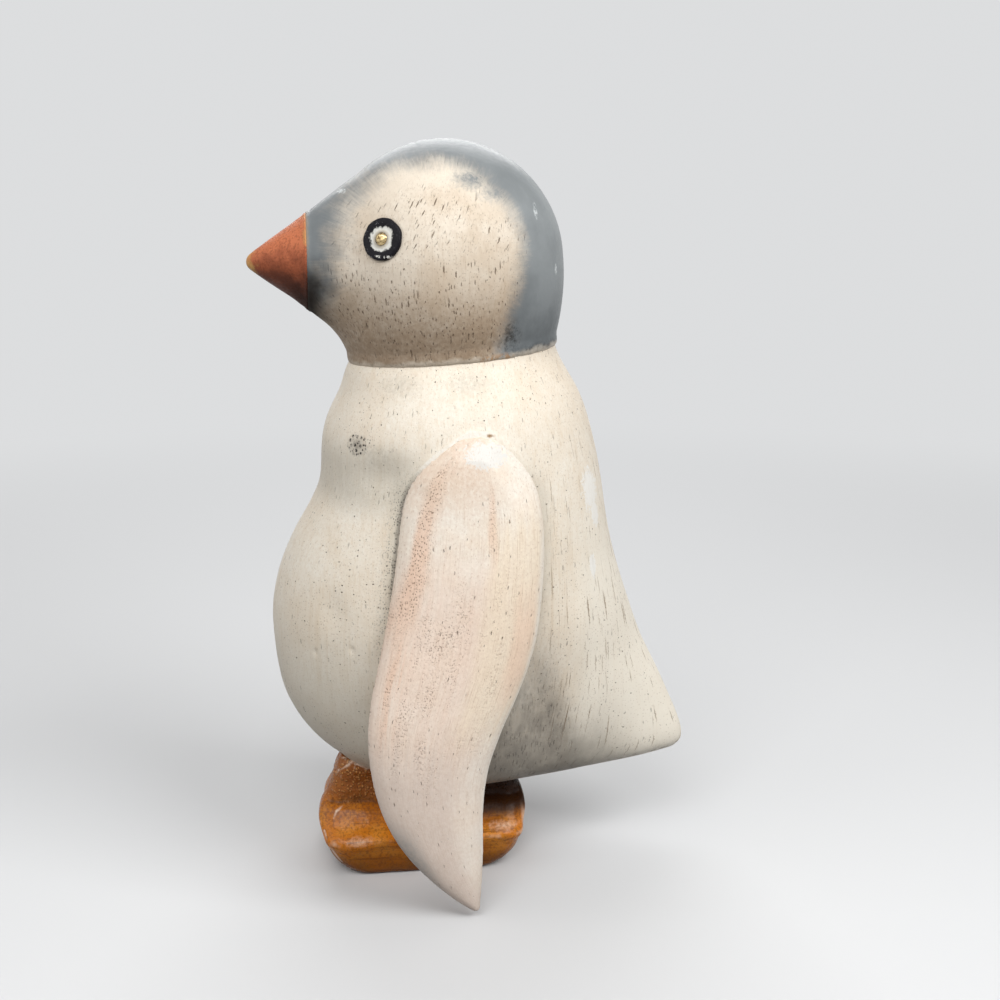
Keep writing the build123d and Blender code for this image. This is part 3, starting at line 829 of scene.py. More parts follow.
@dataclass(frozen=True)
class FlipperWash(Finish):
    """Thin whitewash over pinkish wood, with streaks along the blade, worn greyer toward the tip."""

    name: str = "flipper_wash"
    cream: Rgb = (0.84, 0.735, 0.615)
    pink: Rgb = (0.82, 0.645, 0.53)
    peach: Rgb = (0.82, 0.575, 0.43)
    straw: Rgb = (0.86, 0.735, 0.57)
    grey: Rgb = (0.67, 0.565, 0.49)
    ash_and_shade: Rgb = (0.36, 0.335, 0.31)
    pale: Rgb = (0.88, 0.83, 0.74)
    white: Rgb = (0.735, 0.72, 0.68)
    pore: Rgb = (0.12, 0.08, 0.055)
    brown: Rgb = (0.46, 0.30, 0.20)
    dot: Rgb = (0.27, 0.17, 0.11)
    sand: Rgb = (0.70, 0.55, 0.43)
    fresh: Point = (50.0, -2.2, 166.5)

    def paint(self, g: Graph) -> Surface:
        """Lay out the finish's nodes.

        Args:
            g: the material's graph.

        Returns:
            What goes to the shader.
        """
        at = g.place()
        across = g.attribute("across")
        along = g.attribute("along")
        gap = g.attribute("body_gap")
        blade = g.join(g.both(across, 46.0), 0.0, g.both(along, -170.0))
        cloud = g.effect(Effect.MOTTLE, At=at, Size=14.0)
        tooth = g.effect(Effect.MOTTLE, At=at, Size=1.2)
        streak = g.effect(Effect.GRAIN, At=blade, Width=0.7, Length=11.0)
        brush = g.effect(Effect.GRAIN, At=blade, Width=2.6, Length=46.0)
        drift = g.noise(g.vector("DIVIDE", blade, (11.0, 11.0, 38.0)), 1.0, 3.0, 0.6)
        u = g.plus(across, g.sway(drift, 0.16))
        reach = g.noise(g.vector("DIVIDE", blade, (2.6, 2.6, 60.0)), 1.0, 3.0, 0.6)
        v = g.plus(along, g.sway(reach, 0.16))

        color = g.mix(cloud, self.cream, self.pale)
        middle = g.both(g.band(v, 0.18, 0.38, 0.64, 0.78), g.span(u, 0.95, 0.6))
        color = g.coat(color, self.pink, middle, g.fit(brush, 0.25, 1.1))
        rear = g.both(g.band(u, 0.52, 0.66, 0.94, 1.02), g.band(v, 0.13, 0.24, 0.54, 0.68))
        color = g.coat(color, self.straw, rear, g.fit(brush, 0.5, 1.0))
        slant = g.plus(u, g.both(along, 0.45))
        front = g.both(g.band(slant, 0.15, 0.22, 0.27, 0.36), g.band(v, 0.03, 0.10, 0.32, 0.46))
        color = g.coat(color, self.peach, front, g.fit(brush, 0.55, 1.05))
        second = g.both(g.band(u, 0.57, 0.605, 0.615, 0.66), g.band(v, 0.08, 0.16, 0.22, 0.32), g.fit(brush, 0.4, 1.1))
        third = g.both(g.band(u, 0.78, 0.88, 0.92, 1.0), g.band(v, 0.28, 0.40, 0.48, 0.60))
        lead = g.both(g.band(u, 0.02, 0.08, 0.12, 0.2), g.band(v, 0.36, 0.46, 0.62, 0.74), g.span(brush, 0.4, 0.6))
        color = g.coat(color, self.peach, g.either(second, g.both(third, 0.8), lead), 0.65)
        tip = g.span(v, 0.58, 0.74)
        color = g.coat(color, self.grey, tip, g.fit(g.span(u, 0.55, 0.85), 0.95, 0.4))
        thread = g.effect(Effect.GRAIN, At=blade, Width=0.32, Length=16.0)
        worked = g.both(g.span(along, 0.06, 0.2), g.span(v, 0.8, 0.62))
        color = g.coat(color, self.brown, g.span(streak, 0.5, 0.75), 0.2)
        color = g.coat(color, self.brown, g.span(thread, 0.54, 0.68), worked, g.fit(u, 0.2, 0.5))
        color = g.coat(color, self.brown, tooth, 0.16)
        # The lower leading edge is greyed: a grey streak with painted shade on its bevel
        edge = g.both(g.span(u, 0.36, 0.1), g.band(along, 0.78, 0.86, 0.955, 0.985))
        color = g.coat(color, self.ash_and_shade, edge, g.fit(tooth, 0.9, 0.6))
        rim = g.both(g.span(across, 0.955, 0.985), g.span(v, 0.2, 0.3))
        color = g.coat(color, self.pale, rim, 0.6)
        crown = g.both(g.span(along, 0.22, 0.08), g.span(u, 0.75, 0.5), g.fit(tooth, 0.5, 0.9))
        color = g.coat(color, self.sand, crown)
        new = g.effect(Effect.SPOT, At=at, Middle=self.fresh, Radii=(14.0, 8.5, 5.2), Ragged=2.2, Soft=0.3)
        color = g.coat(color, self.white, new, 0.9)

        dashes = g.effect(Effect.PORE, At=blade, Width=1.7, Length=7.5, Share=g.fit(along, 0.1, 0.3), Fill=0.10)
        fleck = g.effect(Effect.PORE, At=blade, Width=0.62, Length=1.15, Share=0.8, Fill=0.3)
        thick = g.span(g.plus(drift, g.both(brush, 0.5)), 0.66, 0.9)
        stipple = g.both(fleck, g.either(front, g.both(middle, thick), g.both(second, 0.9), g.both(lead, 0.8)))
        holes = g.either(g.both(dashes, 0.9), stipple)
        color = g.coat(color, self.dot, stipple, g.fit(front, 0.5, 0.75))
        color = g.coat(color, self.pore, dashes, 0.7)
        grit = g.effect(Effect.PORE, At=blade, Width=0.8, Length=2.0, Share=0.6, Fill=0.2)
        color = g.coat(color, self.brown, grit, g.fit(tip, 0.36, 0.16))
        seam = g.effect(Effect.GRIME_AND_SHADE, At=at, Gap=gap, Reach=1.3)
        color = g.coat(color, self.ash_and_shade, seam, g.span(along, 0.05, 0.16), g.span(across, 0.6, 0.3), 0.5)

        skin = g.both(g.noise(at, 1.5, 3.0, 0.6), 0.45)
        height = g.minus(g.plus(skin, g.both(streak, 0.5)), holes)
        rough = g.plus(g.fit(cloud, 0.40, 0.52), g.both(holes, 0.2))
        return Surface(color, rough, height)


@dataclass(frozen=True)
class FootVarnish(Finish):
    """Amber-brown gloss varnish, with painted shade in the creases and under the body, and paler wear with painted
    highlights along the edges and the heel.
    """

    name: str = "amber_foot"
    relief: float = 0.3
    specular: float = 0.1
    coat: float = 0.2
    coat_rough: float = 0.16
    amber: Rgb = (0.58, 0.18, 0.012)
    honey: Rgb = (0.76, 0.30, 0.04)
    umber: Rgb = (0.10, 0.027, 0.004)
    russet: Rgb = (0.27, 0.085, 0.018)
    spark: Rgb = (0.72, 0.33, 0.10)
    # Near black, for painted shade in the creases and painted shadow under the body
    shadow_black: Rgb = (0.018, 0.007, 0.004)
    tone_and_painted_light: Rgb = (0.80, 0.61, 0.47)
    squeeze: float = 0.33
    # Pale spots on the ridges, as painted highlights
    highlight_spots: tuple[tuple[Point, Point], ...] = (
        ((26.5, -48.5, 15.0), (3.0, 7.0, 2.2)),
        ((26.0, 7.0, 17.2), (3.0, 8.0, 2.0)),
    )
    # Pale lines along the ankle and toe edges, as painted highlights
    highlight_paths: tuple[tuple[Point, ...], ...] = (
        ((18.0, -51.4, 42.4), (14.9, -55.2, 39.3), (11.2, -57.3, 34.2), (10.1, -58.7, 30.7)),
        ((19.2, -53.3, 26.5), (20.5, -56.7, 24.2), (22.3, -57.9, 22.1), (24.2, -57.7, 20.0)),
        ((21.8, -61.4, 17.3), (24.1, -59.8, 14.0), (24.7, -58.3, 10.0), (25.0, -55.3, 5.7)),
    )

    def paint(self, g: Graph) -> Surface:
        """Lay out the finish's nodes.

        Args:
            g: the material's graph.

        Returns:
            What goes to the shader.
        """
        at = g.place()
        x, y, z = g.split(at)
        ridge = g.attribute("ridge")
        cloud = g.effect(Effect.MOTTLE, At=at, Size=9.0)
        fine = g.effect(Effect.MOTTLE, At=at, Size=1.1)
        level = g.turn(at, 90.0)
        streak = g.effect(Effect.GRAIN, At=level, Width=1.2, Length=26.0)
        color = g.coat(self.amber, self.honey, g.span(cloud, 0.2, 0.9), 0.6)
        color = g.coat(color, self.umber, g.span(streak, 0.5, 0.72), 0.6)
        color = g.coat(color, self.umber, g.span(fine, 0.5, 0.95), 0.4)
        ankle = g.span(g.plus(z, g.sway(cloud, 3.0)), 25.0, 30.0)
        stipple = g.effect(Effect.FLECK, At=at, Width=1.1, Length=1.3, Share=0.95, Fill=0.5)
        color = g.coat(color, self.russet, ankle, 0.85)
        color = g.coat(color, self.spark, ankle, stipple, g.fit(cloud, 0.9, 0.35))
        shoulder = g.both(g.band(z, 19.0, 23.0, 26.0, 29.0), g.fit(fine, 0.2, 0.9))
        color = g.coat(color, self.russet, shoulder)
        # Painted shade along the creases, and painted shadow on the top of the foot under the body, where the gloss is
        # also taken away
        hollow = g.span(ridge, 0.0, -0.5)
        color = g.coat(color, self.shadow_black, hollow, 0.65)
        under = g.both(g.span(y, -8.0, 0.0), g.span(z, 16.5, 23.0))
        color = g.coat(color, self.shadow_black, under, 0.95)
        color = g.coat(color, self.umber, g.span(z, 13.5, 4.0), g.fit(cloud, 0.45, 0.8))
        # Pale along the sharp ridges: worn varnish with a painted highlight
        worn = g.both(g.span(ridge, 0.3, 0.6), g.span(g.noise(at, 0.16, 3.0, 0.6), 0.40, 0.55))
        color = g.coat(color, self.tone_and_painted_light, worn, 0.75)
        aside = g.math("ABSOLUTE", x)
        outer = g.join(g.both(aside, self.squeeze), y, z)
        # Painted highlights: thin pale lines along the ankle and toe edges, and pale spots on the ridges
        for highlight_path in self.highlight_paths:
            for start, end in zip(highlight_path, highlight_path[1:]):
                ends = {"From": (start[0] * self.squeeze, *start[1:]), "To": (end[0] * self.squeeze, *end[1:])}
                line = g.effect(Effect.LINE, At=outer, Width=0.65, **ends)
                color = g.coat(color, self.tone_and_painted_light, line, g.fit(fine, 1.0, 0.45))
        for middle, radii in self.highlight_spots:
            spot = (middle[0] * self.squeeze, *middle[1:])
            highlight_spot = g.effect(Effect.SPOT, At=outer, Middle=spot, Radii=radii, Ragged=1.2, Soft=0.95)
            color = g.coat(color, self.tone_and_painted_light, highlight_spot, g.fit(fine, 0.7, 0.25))
        # Painted highlight: a pale rim up the heel's rear edge
        heel_highlight = g.both(g.span(y, 14.4, 16.0), g.span(aside, 17.0, 22.0), g.band(z, 12.0, 18.0, 30.0, 34.0))
        color = g.coat(color, self.tone_and_painted_light, heel_highlight, g.fit(cloud, 0.7, 1.0))
        tooth = g.both(g.noise(at, 1.2, 4.0, 0.6), 0.4)
        height = g.plus(tooth, g.both(stipple, ankle, 1.4))
        rough = g.fit(fine, 0.22, 0.40)
        gloss = g.fit(g.either(under, hollow), self.coat, 0.0)
        return Surface(color, rough, height, {"Coat Weight": gloss, "Coat Roughness": self.coat_rough})


@dataclass(frozen=True)
class EyeLacquer(Finish):
    """Black gloss with a ragged white middle, grey tarnish and painted shadow round the pin, light scratches and
    painted highlights on the black ring, and a painted highlight on its lower edge.
    """

    name: str = "black_button"
    relief: float = 0.12
    specular: float = 0.07
    black: Rgb = (0.012, 0.011, 0.014)
    tone_and_painted_light: Rgb = (0.26, 0.25, 0.27)
    white: Rgb = (0.72, 0.71, 0.66)
    bone: Rgb = (0.55, 0.50, 0.40)

    def paint(self, g: Graph) -> Surface:
        """Lay out the finish's nodes.

        Args:
            g: the material's graph.

        Returns:
            What goes to the shader.
        """
        at = g.place()
        off = g.attribute("from_pin")
        drop = g.attribute("below_pin")
        cloud = g.effect(Effect.MOTTLE, At=at, Size=2.2)
        fine = g.effect(Effect.MOTTLE, At=at, Size=0.7)
        tear = g.plus(g.both(cloud, 1.5), g.both(fine, 0.5))
        edge = g.plus(off, tear)
        middle = g.span(edge, 5.8, 4.9)
        inner = g.mix(g.span(off, 3.6, 2.7), self.white, self.bone)
        # Grey round the pin: tarnish with painted shadow
        inner = g.coat(inner, self.tone_and_painted_light, g.span(off, 2.9, 2.2), 0.8)
        # Grey flecks on the black: light scratches with painted highlights
        fine_streaks = g.span(g.noise(at, 0.9, 5.0, 0.75), 0.62, 0.68)
        outer = g.coat(self.black, self.tone_and_painted_light, fine_streaks, 0.7)
        color = g.mix(middle, outer, inner)
        # Painted highlight: a white tick low on the ring's edge
        small_mark = g.both(g.band(drop, 5.5, 5.9, 6.4, 6.8), g.span(cloud, 0.35, 0.55), g.span(fine, 0.2, 0.5))
        color = g.coat(color, self.white, small_mark)
        height = g.plus(g.both(fine, 0.5), g.both(middle, -0.6))
        rough = g.plus(g.fit(fine, 0.10, 0.24), g.both(middle, 0.3))
        return Surface(color, rough, height)


@dataclass(frozen=True)
class PinBrass(Finish):
    """Hammered brass, a little tarnished in patches."""

    name: str = "hammered_brass"
    relief: float = 0.03
    specular: float = 0.5
    bright: Rgb = (0.56, 0.43, 0.23)
    tarnish: Rgb = (0.15, 0.095, 0.04)

    def paint(self, g: Graph) -> Surface:
        """Lay out the finish's nodes.

        Args:
            g: the material's graph.

        Returns:
            What goes to the shader.
        """
        at = g.place()
        cloud = g.effect(Effect.MOTTLE, At=at, Size=1.0)
        fine_streaks = g.effect(Effect.GRAIN, At=at, Width=0.12, Length=1.4)
        color = g.mix(g.span(cloud, 0.45, 0.95), self.bright, self.tarnish)
        rough = g.fit(cloud, 0.22, 0.46)
        return Surface(color, rough, fine_streaks, {"Metallic": 1.0})


@dataclass(frozen=True)
class DowelWood(Finish):
    """Bare turned dowel with fine grain and glue marks."""

    name: str = "bare_dowel"
    relief: float = 0.1
    specular: float = 0.3
    pale: Rgb = (0.68, 0.52, 0.34)
    dark: Rgb = (0.46, 0.31, 0.17)
    glue: Rgb = (0.72, 0.66, 0.50)

    def paint(self, g: Graph) -> Surface:
        """Lay out the finish's nodes.

        Args:
            g: the material's graph.

        Returns:
            What goes to the shader.
        """
        at = g.place()
        streak = g.effect(Effect.GRAIN, At=at, Width=0.6, Length=14.0)
        cloud = g.effect(Effect.MOTTLE, At=at, Size=7.0)
        color = g.mix(g.span(streak, 0.4, 0.7), self.pale, self.dark)
        color = g.coat(color, self.glue, g.span(cloud, 0.6, 1.0), 0.5)
        rough = g.fit(cloud, 0.55, 0.75)
        return Surface(color, rough, streak)


@dataclass(frozen=True)
class Dent:
    """A soft hollow in a carving, or a swelling where its depth is negative."""

    at: Point
    radii: Point
    depth: float
    steepness: float = 1.5

    def cut(self, points: np.ndarray) -> np.ndarray:
        """Give how far each point moves in.

        Args:
            points: places in millimetres, one a row.

        Returns:
            Depths in millimetres.
        """
        away = (points - np.array(self.at)) / np.array(self.radii)
        return self.depth * np.exp(-self.steepness * (away**2).sum(1))


def ripple(points: np.ndarray, size: float, seed: float) -> np.ndarray:
    """Give smooth noise from about -1 to 1 at each point.

    Args:
        points: places in millimetres, one a row.
        size: how wide its lumps are, in millimetres.
        seed: shifts the pattern.

    Returns:
        One value a point.
    """
    shift = Vector((seed, 2.0 * seed, 3.0 * seed))
    return np.array([noise.noise(Vector(p) / size + shift) for p in points])


def ease(values: np.ndarray, low: float, high: float) -> np.ndarray:
    """Rise smoothly from 0 to 1 as values go from low to high."""
    share = np.clip((values - low) / (high - low), 0.0, 1.0)
    return share * share * (3.0 - 2.0 * share)


def bell(values: np.ndarray, middle: float, width: float) -> np.ndarray:
    """Give a smooth hump that is 1 in the middle and about a third one width away."""
    return np.exp(-(((values - middle) / width) ** 2))


def read_rows(things: bpy.types.bpy_prop_collection, name: str) -> np.ndarray:
    """Read a vector of each of many things.

    Args:
        things: the vertices or the like.
        name: the vector's name.

    Returns:
        The vectors, one a row.
    """
    flat = np.empty(len(things) * 3)
    things.foreach_get(name, flat)
    return flat.reshape(-1, 3)


def read_points(mesh: bpy.types.Mesh) -> np.ndarray:
    """Give a mesh's vertices in millimetres, one a row."""
    return read_rows(mesh.vertices, "co") / MM


def read_normals(mesh: bpy.types.Mesh) -> np.ndarray:
    """Give a mesh's vertex normals, one a row."""
    return read_rows(mesh.vertex_normals, "vector")


def write_points(mesh: bpy.types.Mesh, points: np.ndarray) -> None:
    """Set a mesh's vertices from millimetres."""
    mesh.vertices.foreach_set("co", (points * MM).ravel())
    mesh.update()


def store(mesh: bpy.types.Mesh, name: str, values: np.ndarray) -> None:
    """Keep one number a vertex on a mesh, for its finish to read."""
    mesh.attributes.new(name, "FLOAT", "POINT").data.foreach_set("value", values.astype(np.float32))


def solid_tree(name: str) -> BVHTree:
    """Give a solid's faces, ready to be searched."""
    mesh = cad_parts[name].data
    return BVHTree.FromPolygons([v.co for v in mesh.vertices], [tuple(p.vertices) for p in mesh.polygons])


def distance_to(points: np.ndarray, nodes: tuple[str, ...], limit: float) -> np.ndarray:
    """Give how far each point is from the nearest of some solids.

    Args:
        points: places in millimetres, one a row.
        nodes: names of the solids.
        limit: the most that is told apart, in millimetres.

    Returns:
        One distance a point, in millimetres.
    """
    result = np.full(len(points), limit)
    for name in nodes:
        tree = solid_tree(name)
        for index, point in enumerate(points):
            found = tree.find_nearest(Vector(point) * MM, limit * MM)[3]
            if found is not None:
                result[index] = min(result[index], found / MM)
    return result


def ridges(mesh: bpy.types.Mesh, rounds: int) -> np.ndarray:
    """Tell edges from hollows: about 1 on a sharp edge, 0 on a flat, -1 in a crease.

    Args:
        mesh: an evenly divided mesh.
        rounds: how often the result is averaged with its neighbours.

    Returns:
        One value a vertex.
    """
    points, normals = read_points(mesh), read_normals(mesh)
    pairs = np.empty(len(mesh.edges) * 2, dtype=np.int64)
    mesh.edges.foreach_get("vertices", pairs)
    a, b = pairs.reshape(-1, 2).T
    step = points[a] - points[b]
    reach = np.linalg.norm(step, axis=1) + TINY
    count = np.bincount(a, minlength=len(points)) + np.bincount(b, minlength=len(points))
    count = np.maximum(count, 1)
    bend_a = (normals[a] * step).sum(1) / reach
    bend_b = -(normals[b] * step).sum(1) / reach
    bend = np.bincount(a, bend_a, len(points)) + np.bincount(b, bend_b, len(points))
    bend = bend / count
    for _ in range(rounds):
        near = np.bincount(a, bend[b], len(points)) + np.bincount(b, bend[a], len(points))
        bend = 0.5 * bend + 0.5 * near / count
    return np.clip(bend / SHARP_BEND, -MOST_RIDGE, MOST_RIDGE)


def new_piece(name: str, mesh: bpy.types.Mesh) -> bpy.types.Object:
    """Put a mesh into the scene as a smooth-shaded object at the origin.

    Args:
        name: the object's name.
        mesh: its mesh.

    Returns:
        The object.
    """
    mesh.name = name
    mesh.polygons.foreach_set("use_smooth", [True] * len(mesh.polygons))
    made = bpy.data.objects.new(name, mesh)
    bpy.context.scene.collection.objects.link(made)
    return made


def report(piece: bpy.types.Object) -> None:
    """Log a finished piece."""
    triangles = sum(len(p.vertices) - 2 for p in piece.data.polygons)
    log.info("%s: %d triangles, %s", piece.name, triangles, piece.data.materials[0].name)


def dress(piece: bpy.types.Object, node: str, finish: Finish) -> None:
    """Give a piece its finish, and let it stand for a solid.

    Args:
        piece: the piece.
        node: the solid's name.
        finish: its finish.
    """
    piece.data.materials.clear()
    piece.data.materials.append(finish.material())
    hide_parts(node)
    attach(piece, "root")
    report(piece)


@dataclass
class Carving:
    """A piece of carved wood, cut finer from the outline of its solid. Lengths are in millimetres."""

    node: str
    slot: str
    finish: Finish
    weld: float = 0.004
    voxel: float = 1.0
    smoothing: int = 3
    smooth_share: float = 0.5
    swell_size: float = 34.0
    swell_depth: float = 0.35
    facet_size: float = 9.0
    facet_depth: float = 0.10
    tooth_size: float = 1.6
    tooth_depth: float = 0.03
    seed: float = 1.0
    facet_shift: float = 3.7
    tooth_shift: float = 8.3
    joint_start: float = 0.3
    joint_end: float = 6.0
    dents: tuple[Dent, ...] = ()
    neighbours: dict[str, tuple[str, ...]] = field(default_factory=dict)
    gap_limit: float = 30.0
    filler: dict[str, tuple[float, float]] = field(default_factory=dict)

    def blank(self) -> bpy.types.Mesh:
        """Copy the solid, close it and divide it evenly.

        Returns:
            A new mesh.
        """
        bm = bmesh.new()
        bm.from_mesh(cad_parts[self.node].data)
        bmesh.ops.remove_doubles(bm, verts=bm.verts, dist=self.weld * MM)
        rough = bpy.data.meshes.new(self.node + "_rough")
        bm.to_mesh(rough)
        bm.free()
        block = bpy.data.objects.new(self.node + "_rough", rough)
        bpy.context.scene.collection.objects.link(block)
        cutter = block.modifiers.new("even", "REMESH")
        cutter.mode = "VOXEL"
        cutter.voxel_size = self.voxel * MM
        depsgraph = bpy.context.evaluated_depsgraph_get()
        fine = bpy.data.meshes.new_from_object(block.evaluated_get(depsgraph))
        bpy.data.objects.remove(block)
        bpy.data.meshes.remove(rough)
        bm = bmesh.new()
        bm.from_mesh(fine)
        for _ in range(self.smoothing):
            bmesh.ops.smooth_vert(
                bm, verts=bm.verts, factor=self.smooth_share, use_axis_x=True, use_axis_y=True, use_axis_z=True
            )
        bm.to_mesh(fine)
        bm.free()
        fine.update()
        return fine

    def gaps(self, points: np.ndarray) -> dict[str, np.ndarray]:
        """Give each point's distance from the pieces next to this one, by name of the gap."""
        return {name: distance_to(points, nodes, self.gap_limit) for name, nodes in self.neighbours.items()}

    def shape(self, points: np.ndarray, facing: np.ndarray, gaps: dict[str, np.ndarray]) -> np.ndarray:
        """Give how far the carver's tools left each point proud of the smooth form.

        Args:
            points: places in millimetres, one a row.
            facing: the way each point faces.
            gaps: distances from the pieces next to this one.

        Returns:
            Heights in millimetres.
        """
        height = self.swell_depth * ripple(points, self.swell_size, self.seed)
        height += self.facet_depth * ripple(points, self.facet_size, self.seed + self.facet_shift)
        for dent in self.dents:
            height -= dent.cut(points)
        height *= ease(np.min(list(gaps.values()), axis=0), self.joint_start, self.joint_end)
        for name, (rise, reach) in self.filler.items():
            height += rise * (1.0 - ease(gaps[name], 0.0, reach))
        height += self.tooth_depth * ripple(points, self.tooth_size, self.seed + self.tooth_shift)
        return height

    def settle(self, points: np.ndarray) -> np.ndarray:
        """Bring the carved points into their last place. Most pieces are already there."""
        return points

    def mark(self, mesh: bpy.types.Mesh, points: np.ndarray) -> None:
        """Store what this piece's own finish reads. Most pieces need nothing more than their gaps."""

    def build(self) -> bpy.types.Object:
        """Cut, mark and dress the piece.

        Returns:
            The finished object.
        """
        mesh = self.blank()
        points = read_points(mesh)
        gaps = self.gaps(points)
        facing = read_normals(mesh)
        height = self.shape(points, facing, gaps)
        points = self.settle(points + facing * height[:, None])
        points[:, 2] = np.maximum(points[:, 2], 0.0)
        write_points(mesh, points)
        for name, distances in gaps.items():
            store(mesh, name, distances)
        self.mark(mesh, points)
        piece = new_piece("carved_" + self.node, mesh)
        dress(piece, self.node, self.finish)
        return piece


@dataclass
class Body(Carving):
    """The body block, with its hollow flanks, chest crease and the raised lip over each flipper."""

    node: str = "body"
    slot: str = "body_paint"
    finish: Finish = BodyWhitewash()
    voxel: float = 0.95
    swell_depth: float = 0.45
    lip_height: float = 0.35
    lip_offset: float = 0.5
    lip_width: float = 0.8
    lip_low: float = 130.0
    lip_high: float = 166.0
    groove_start: float = -4.0
    groove_end: float = -20.0
    groove_top: float = 168.0
    groove_bottom: float = 152.0
    filler: dict[str, tuple[float, float]] = field(
        default_factory=lambda: {"neck_gap": (0.4, 2.6), "foot_gap": (0.5, 1.8)}
    )
    dents: tuple[Dent, ...] = (
        Dent((46.0, 14.0, 100.0), (12.0, 10.0, 26.0), 1.8),
        Dent((42.0, 19.0, 76.0), (12.0, 11.0, 24.0), 2.8),
        Dent((39.0, 24.0, 54.0), (12.0, 12.0, 18.0), 2.4),
        Dent((36.0, 34.0, 96.0), (9.0, 7.0, 24.0), -0.9),
        Dent((30.0, 42.0, 70.0), (9.0, 7.0, 24.0), -0.9),
        Dent((40.0, -38.0, 158.0), (15.0, 16.0, 9.0), 1.6),
        Dent((37.2, -56.4, 108.7), (9.0, 7.0, 8.0), 0.8),
        Dent((32.4, -62.8, 92.4), (1.1, 1.1, 1.3), 0.7),
        Dent((41.8, -50.1, 95.6), (1.1, 1.1, 1.3), 0.7),
        Dent((-40.0, 20.0, 80.0), (12.0, 12.0, 32.0), 2.4),
        Dent((-40.0, -38.0, 158.0), (15.0, 16.0, 9.0), 1.4),
    )
    neighbours: dict[str, tuple[str, ...]] = field(
        default_factory=lambda: {
            "flipper_gap": ("flipper_left", "flipper_right"),
            "neck_gap": ("head",),
            "foot_gap": ("foot_left", "foot_right"),
        }
    )

    def shape(self, points: np.ndarray, facing: np.ndarray, gaps: dict[str, np.ndarray]) -> np.ndarray:
        """Give how far the carver's tools left each point proud of the smooth form.

        Args:
            points: places in millimetres, one a row.
            facing: the way each point faces.
            gaps: distances from the pieces next to this one.

        Returns:
            Heights in millimetres.
        """
        height = super().shape(points, facing, gaps)
        y, z = points[:, 1], points[:, 2]
        lip = self.lip_height * bell(gaps["flipper_gap"], self.lip_offset, self.lip_width)
        open_groove = ease(-y, -self.groove_start, -self.groove_end) * ease(-z, -self.groove_top, -self.groove_bottom)
        return height + lip * ease(z, self.lip_low, self.lip_high) * (1.0 - open_groove)


@dataclass
class Head(Carving):
    """The head, with the painted cap's outline stored on it as a distance."""

    node: str = "head"
    slot: str = "head_paint"
    finish: Finish = HeadPaint()
    voxel: float = 0.65
    seed: float = 5.0
    swell_depth: float = 0.3
    patch_y: float = CHEEK_Y
    patch_z: float = CHEEK_Z
    patch_half_length: float = 32.5
    patch_half_height: float = 33.8
    nape_top_y: float = 13.0
    nape_low_y: float = 3.5
    nape_low_z: float = 199.0
    bib_y: float = -54.0
    filler: dict[str, tuple[float, float]] = field(
        default_factory=lambda: {"neck_gap": (1.2, 5.0), "beak_gap": (0.4, 1.6)}
    )
    front_softness: float = 0.5
    front_start: float = 28.0
    front_end: float = 50.0
    neighbours: dict[str, tuple[str, ...]] = field(
        default_factory=lambda: {
            "neck_gap": ("body",),
            "beak_gap": ("beak",),
            "eye_gap": ("eye_disc_left", "eye_disc_right"),
        }
    )

    def mark(self, mesh: bpy.types.Mesh, points: np.ndarray) -> None:
        """Store how far each point lies inside the cap's edge, in millimetres.

        Args:
            mesh: the head's mesh.
            points: its vertices in millimetres.
        """
        y, z = points[:, 1], points[:, 2]
        out = np.hypot((y - self.patch_y) / self.patch_half_length, (z - self.patch_z) / self.patch_half_height)
        upper = (out - 1.0) * self.patch_half_length
        drop = (self.patch_z - z) / (self.patch_z - self.nape_low_z)
        nape = y - (self.nape_top_y + (self.nape_low_y - self.nape_top_y) * np.clip(drop, 0.0, 1.2))
        bib = self.bib_y - y
        cap = np.where(z > self.patch_z, upper, np.maximum(nape, bib))
        soft = 1.0 - self.front_softness * ease(-y, self.front_start, self.front_end)
        store(mesh, "cap", cap * soft)


@dataclass
class Beak(Carving):
    """The cone beak."""

    node: str = "beak"
    slot: str = "beak_paint"
    finish: Finish = BeakPaint()
    voxel: float = 0.45
    seed: float = 9.0
    swell_size: float = 14.0
    swell_depth: float = 0.25
    facet_size: float = 4.0
    facet_depth: float = 0.07
    tooth_size: float = 0.9
    filler: dict[str, tuple[float, float]] = field(default_factory=lambda: {"head_gap": (0.4, 1.6)})
    neighbours: dict[str, tuple[str, ...]] = field(default_factory=lambda: {"head_gap": ("head",)})


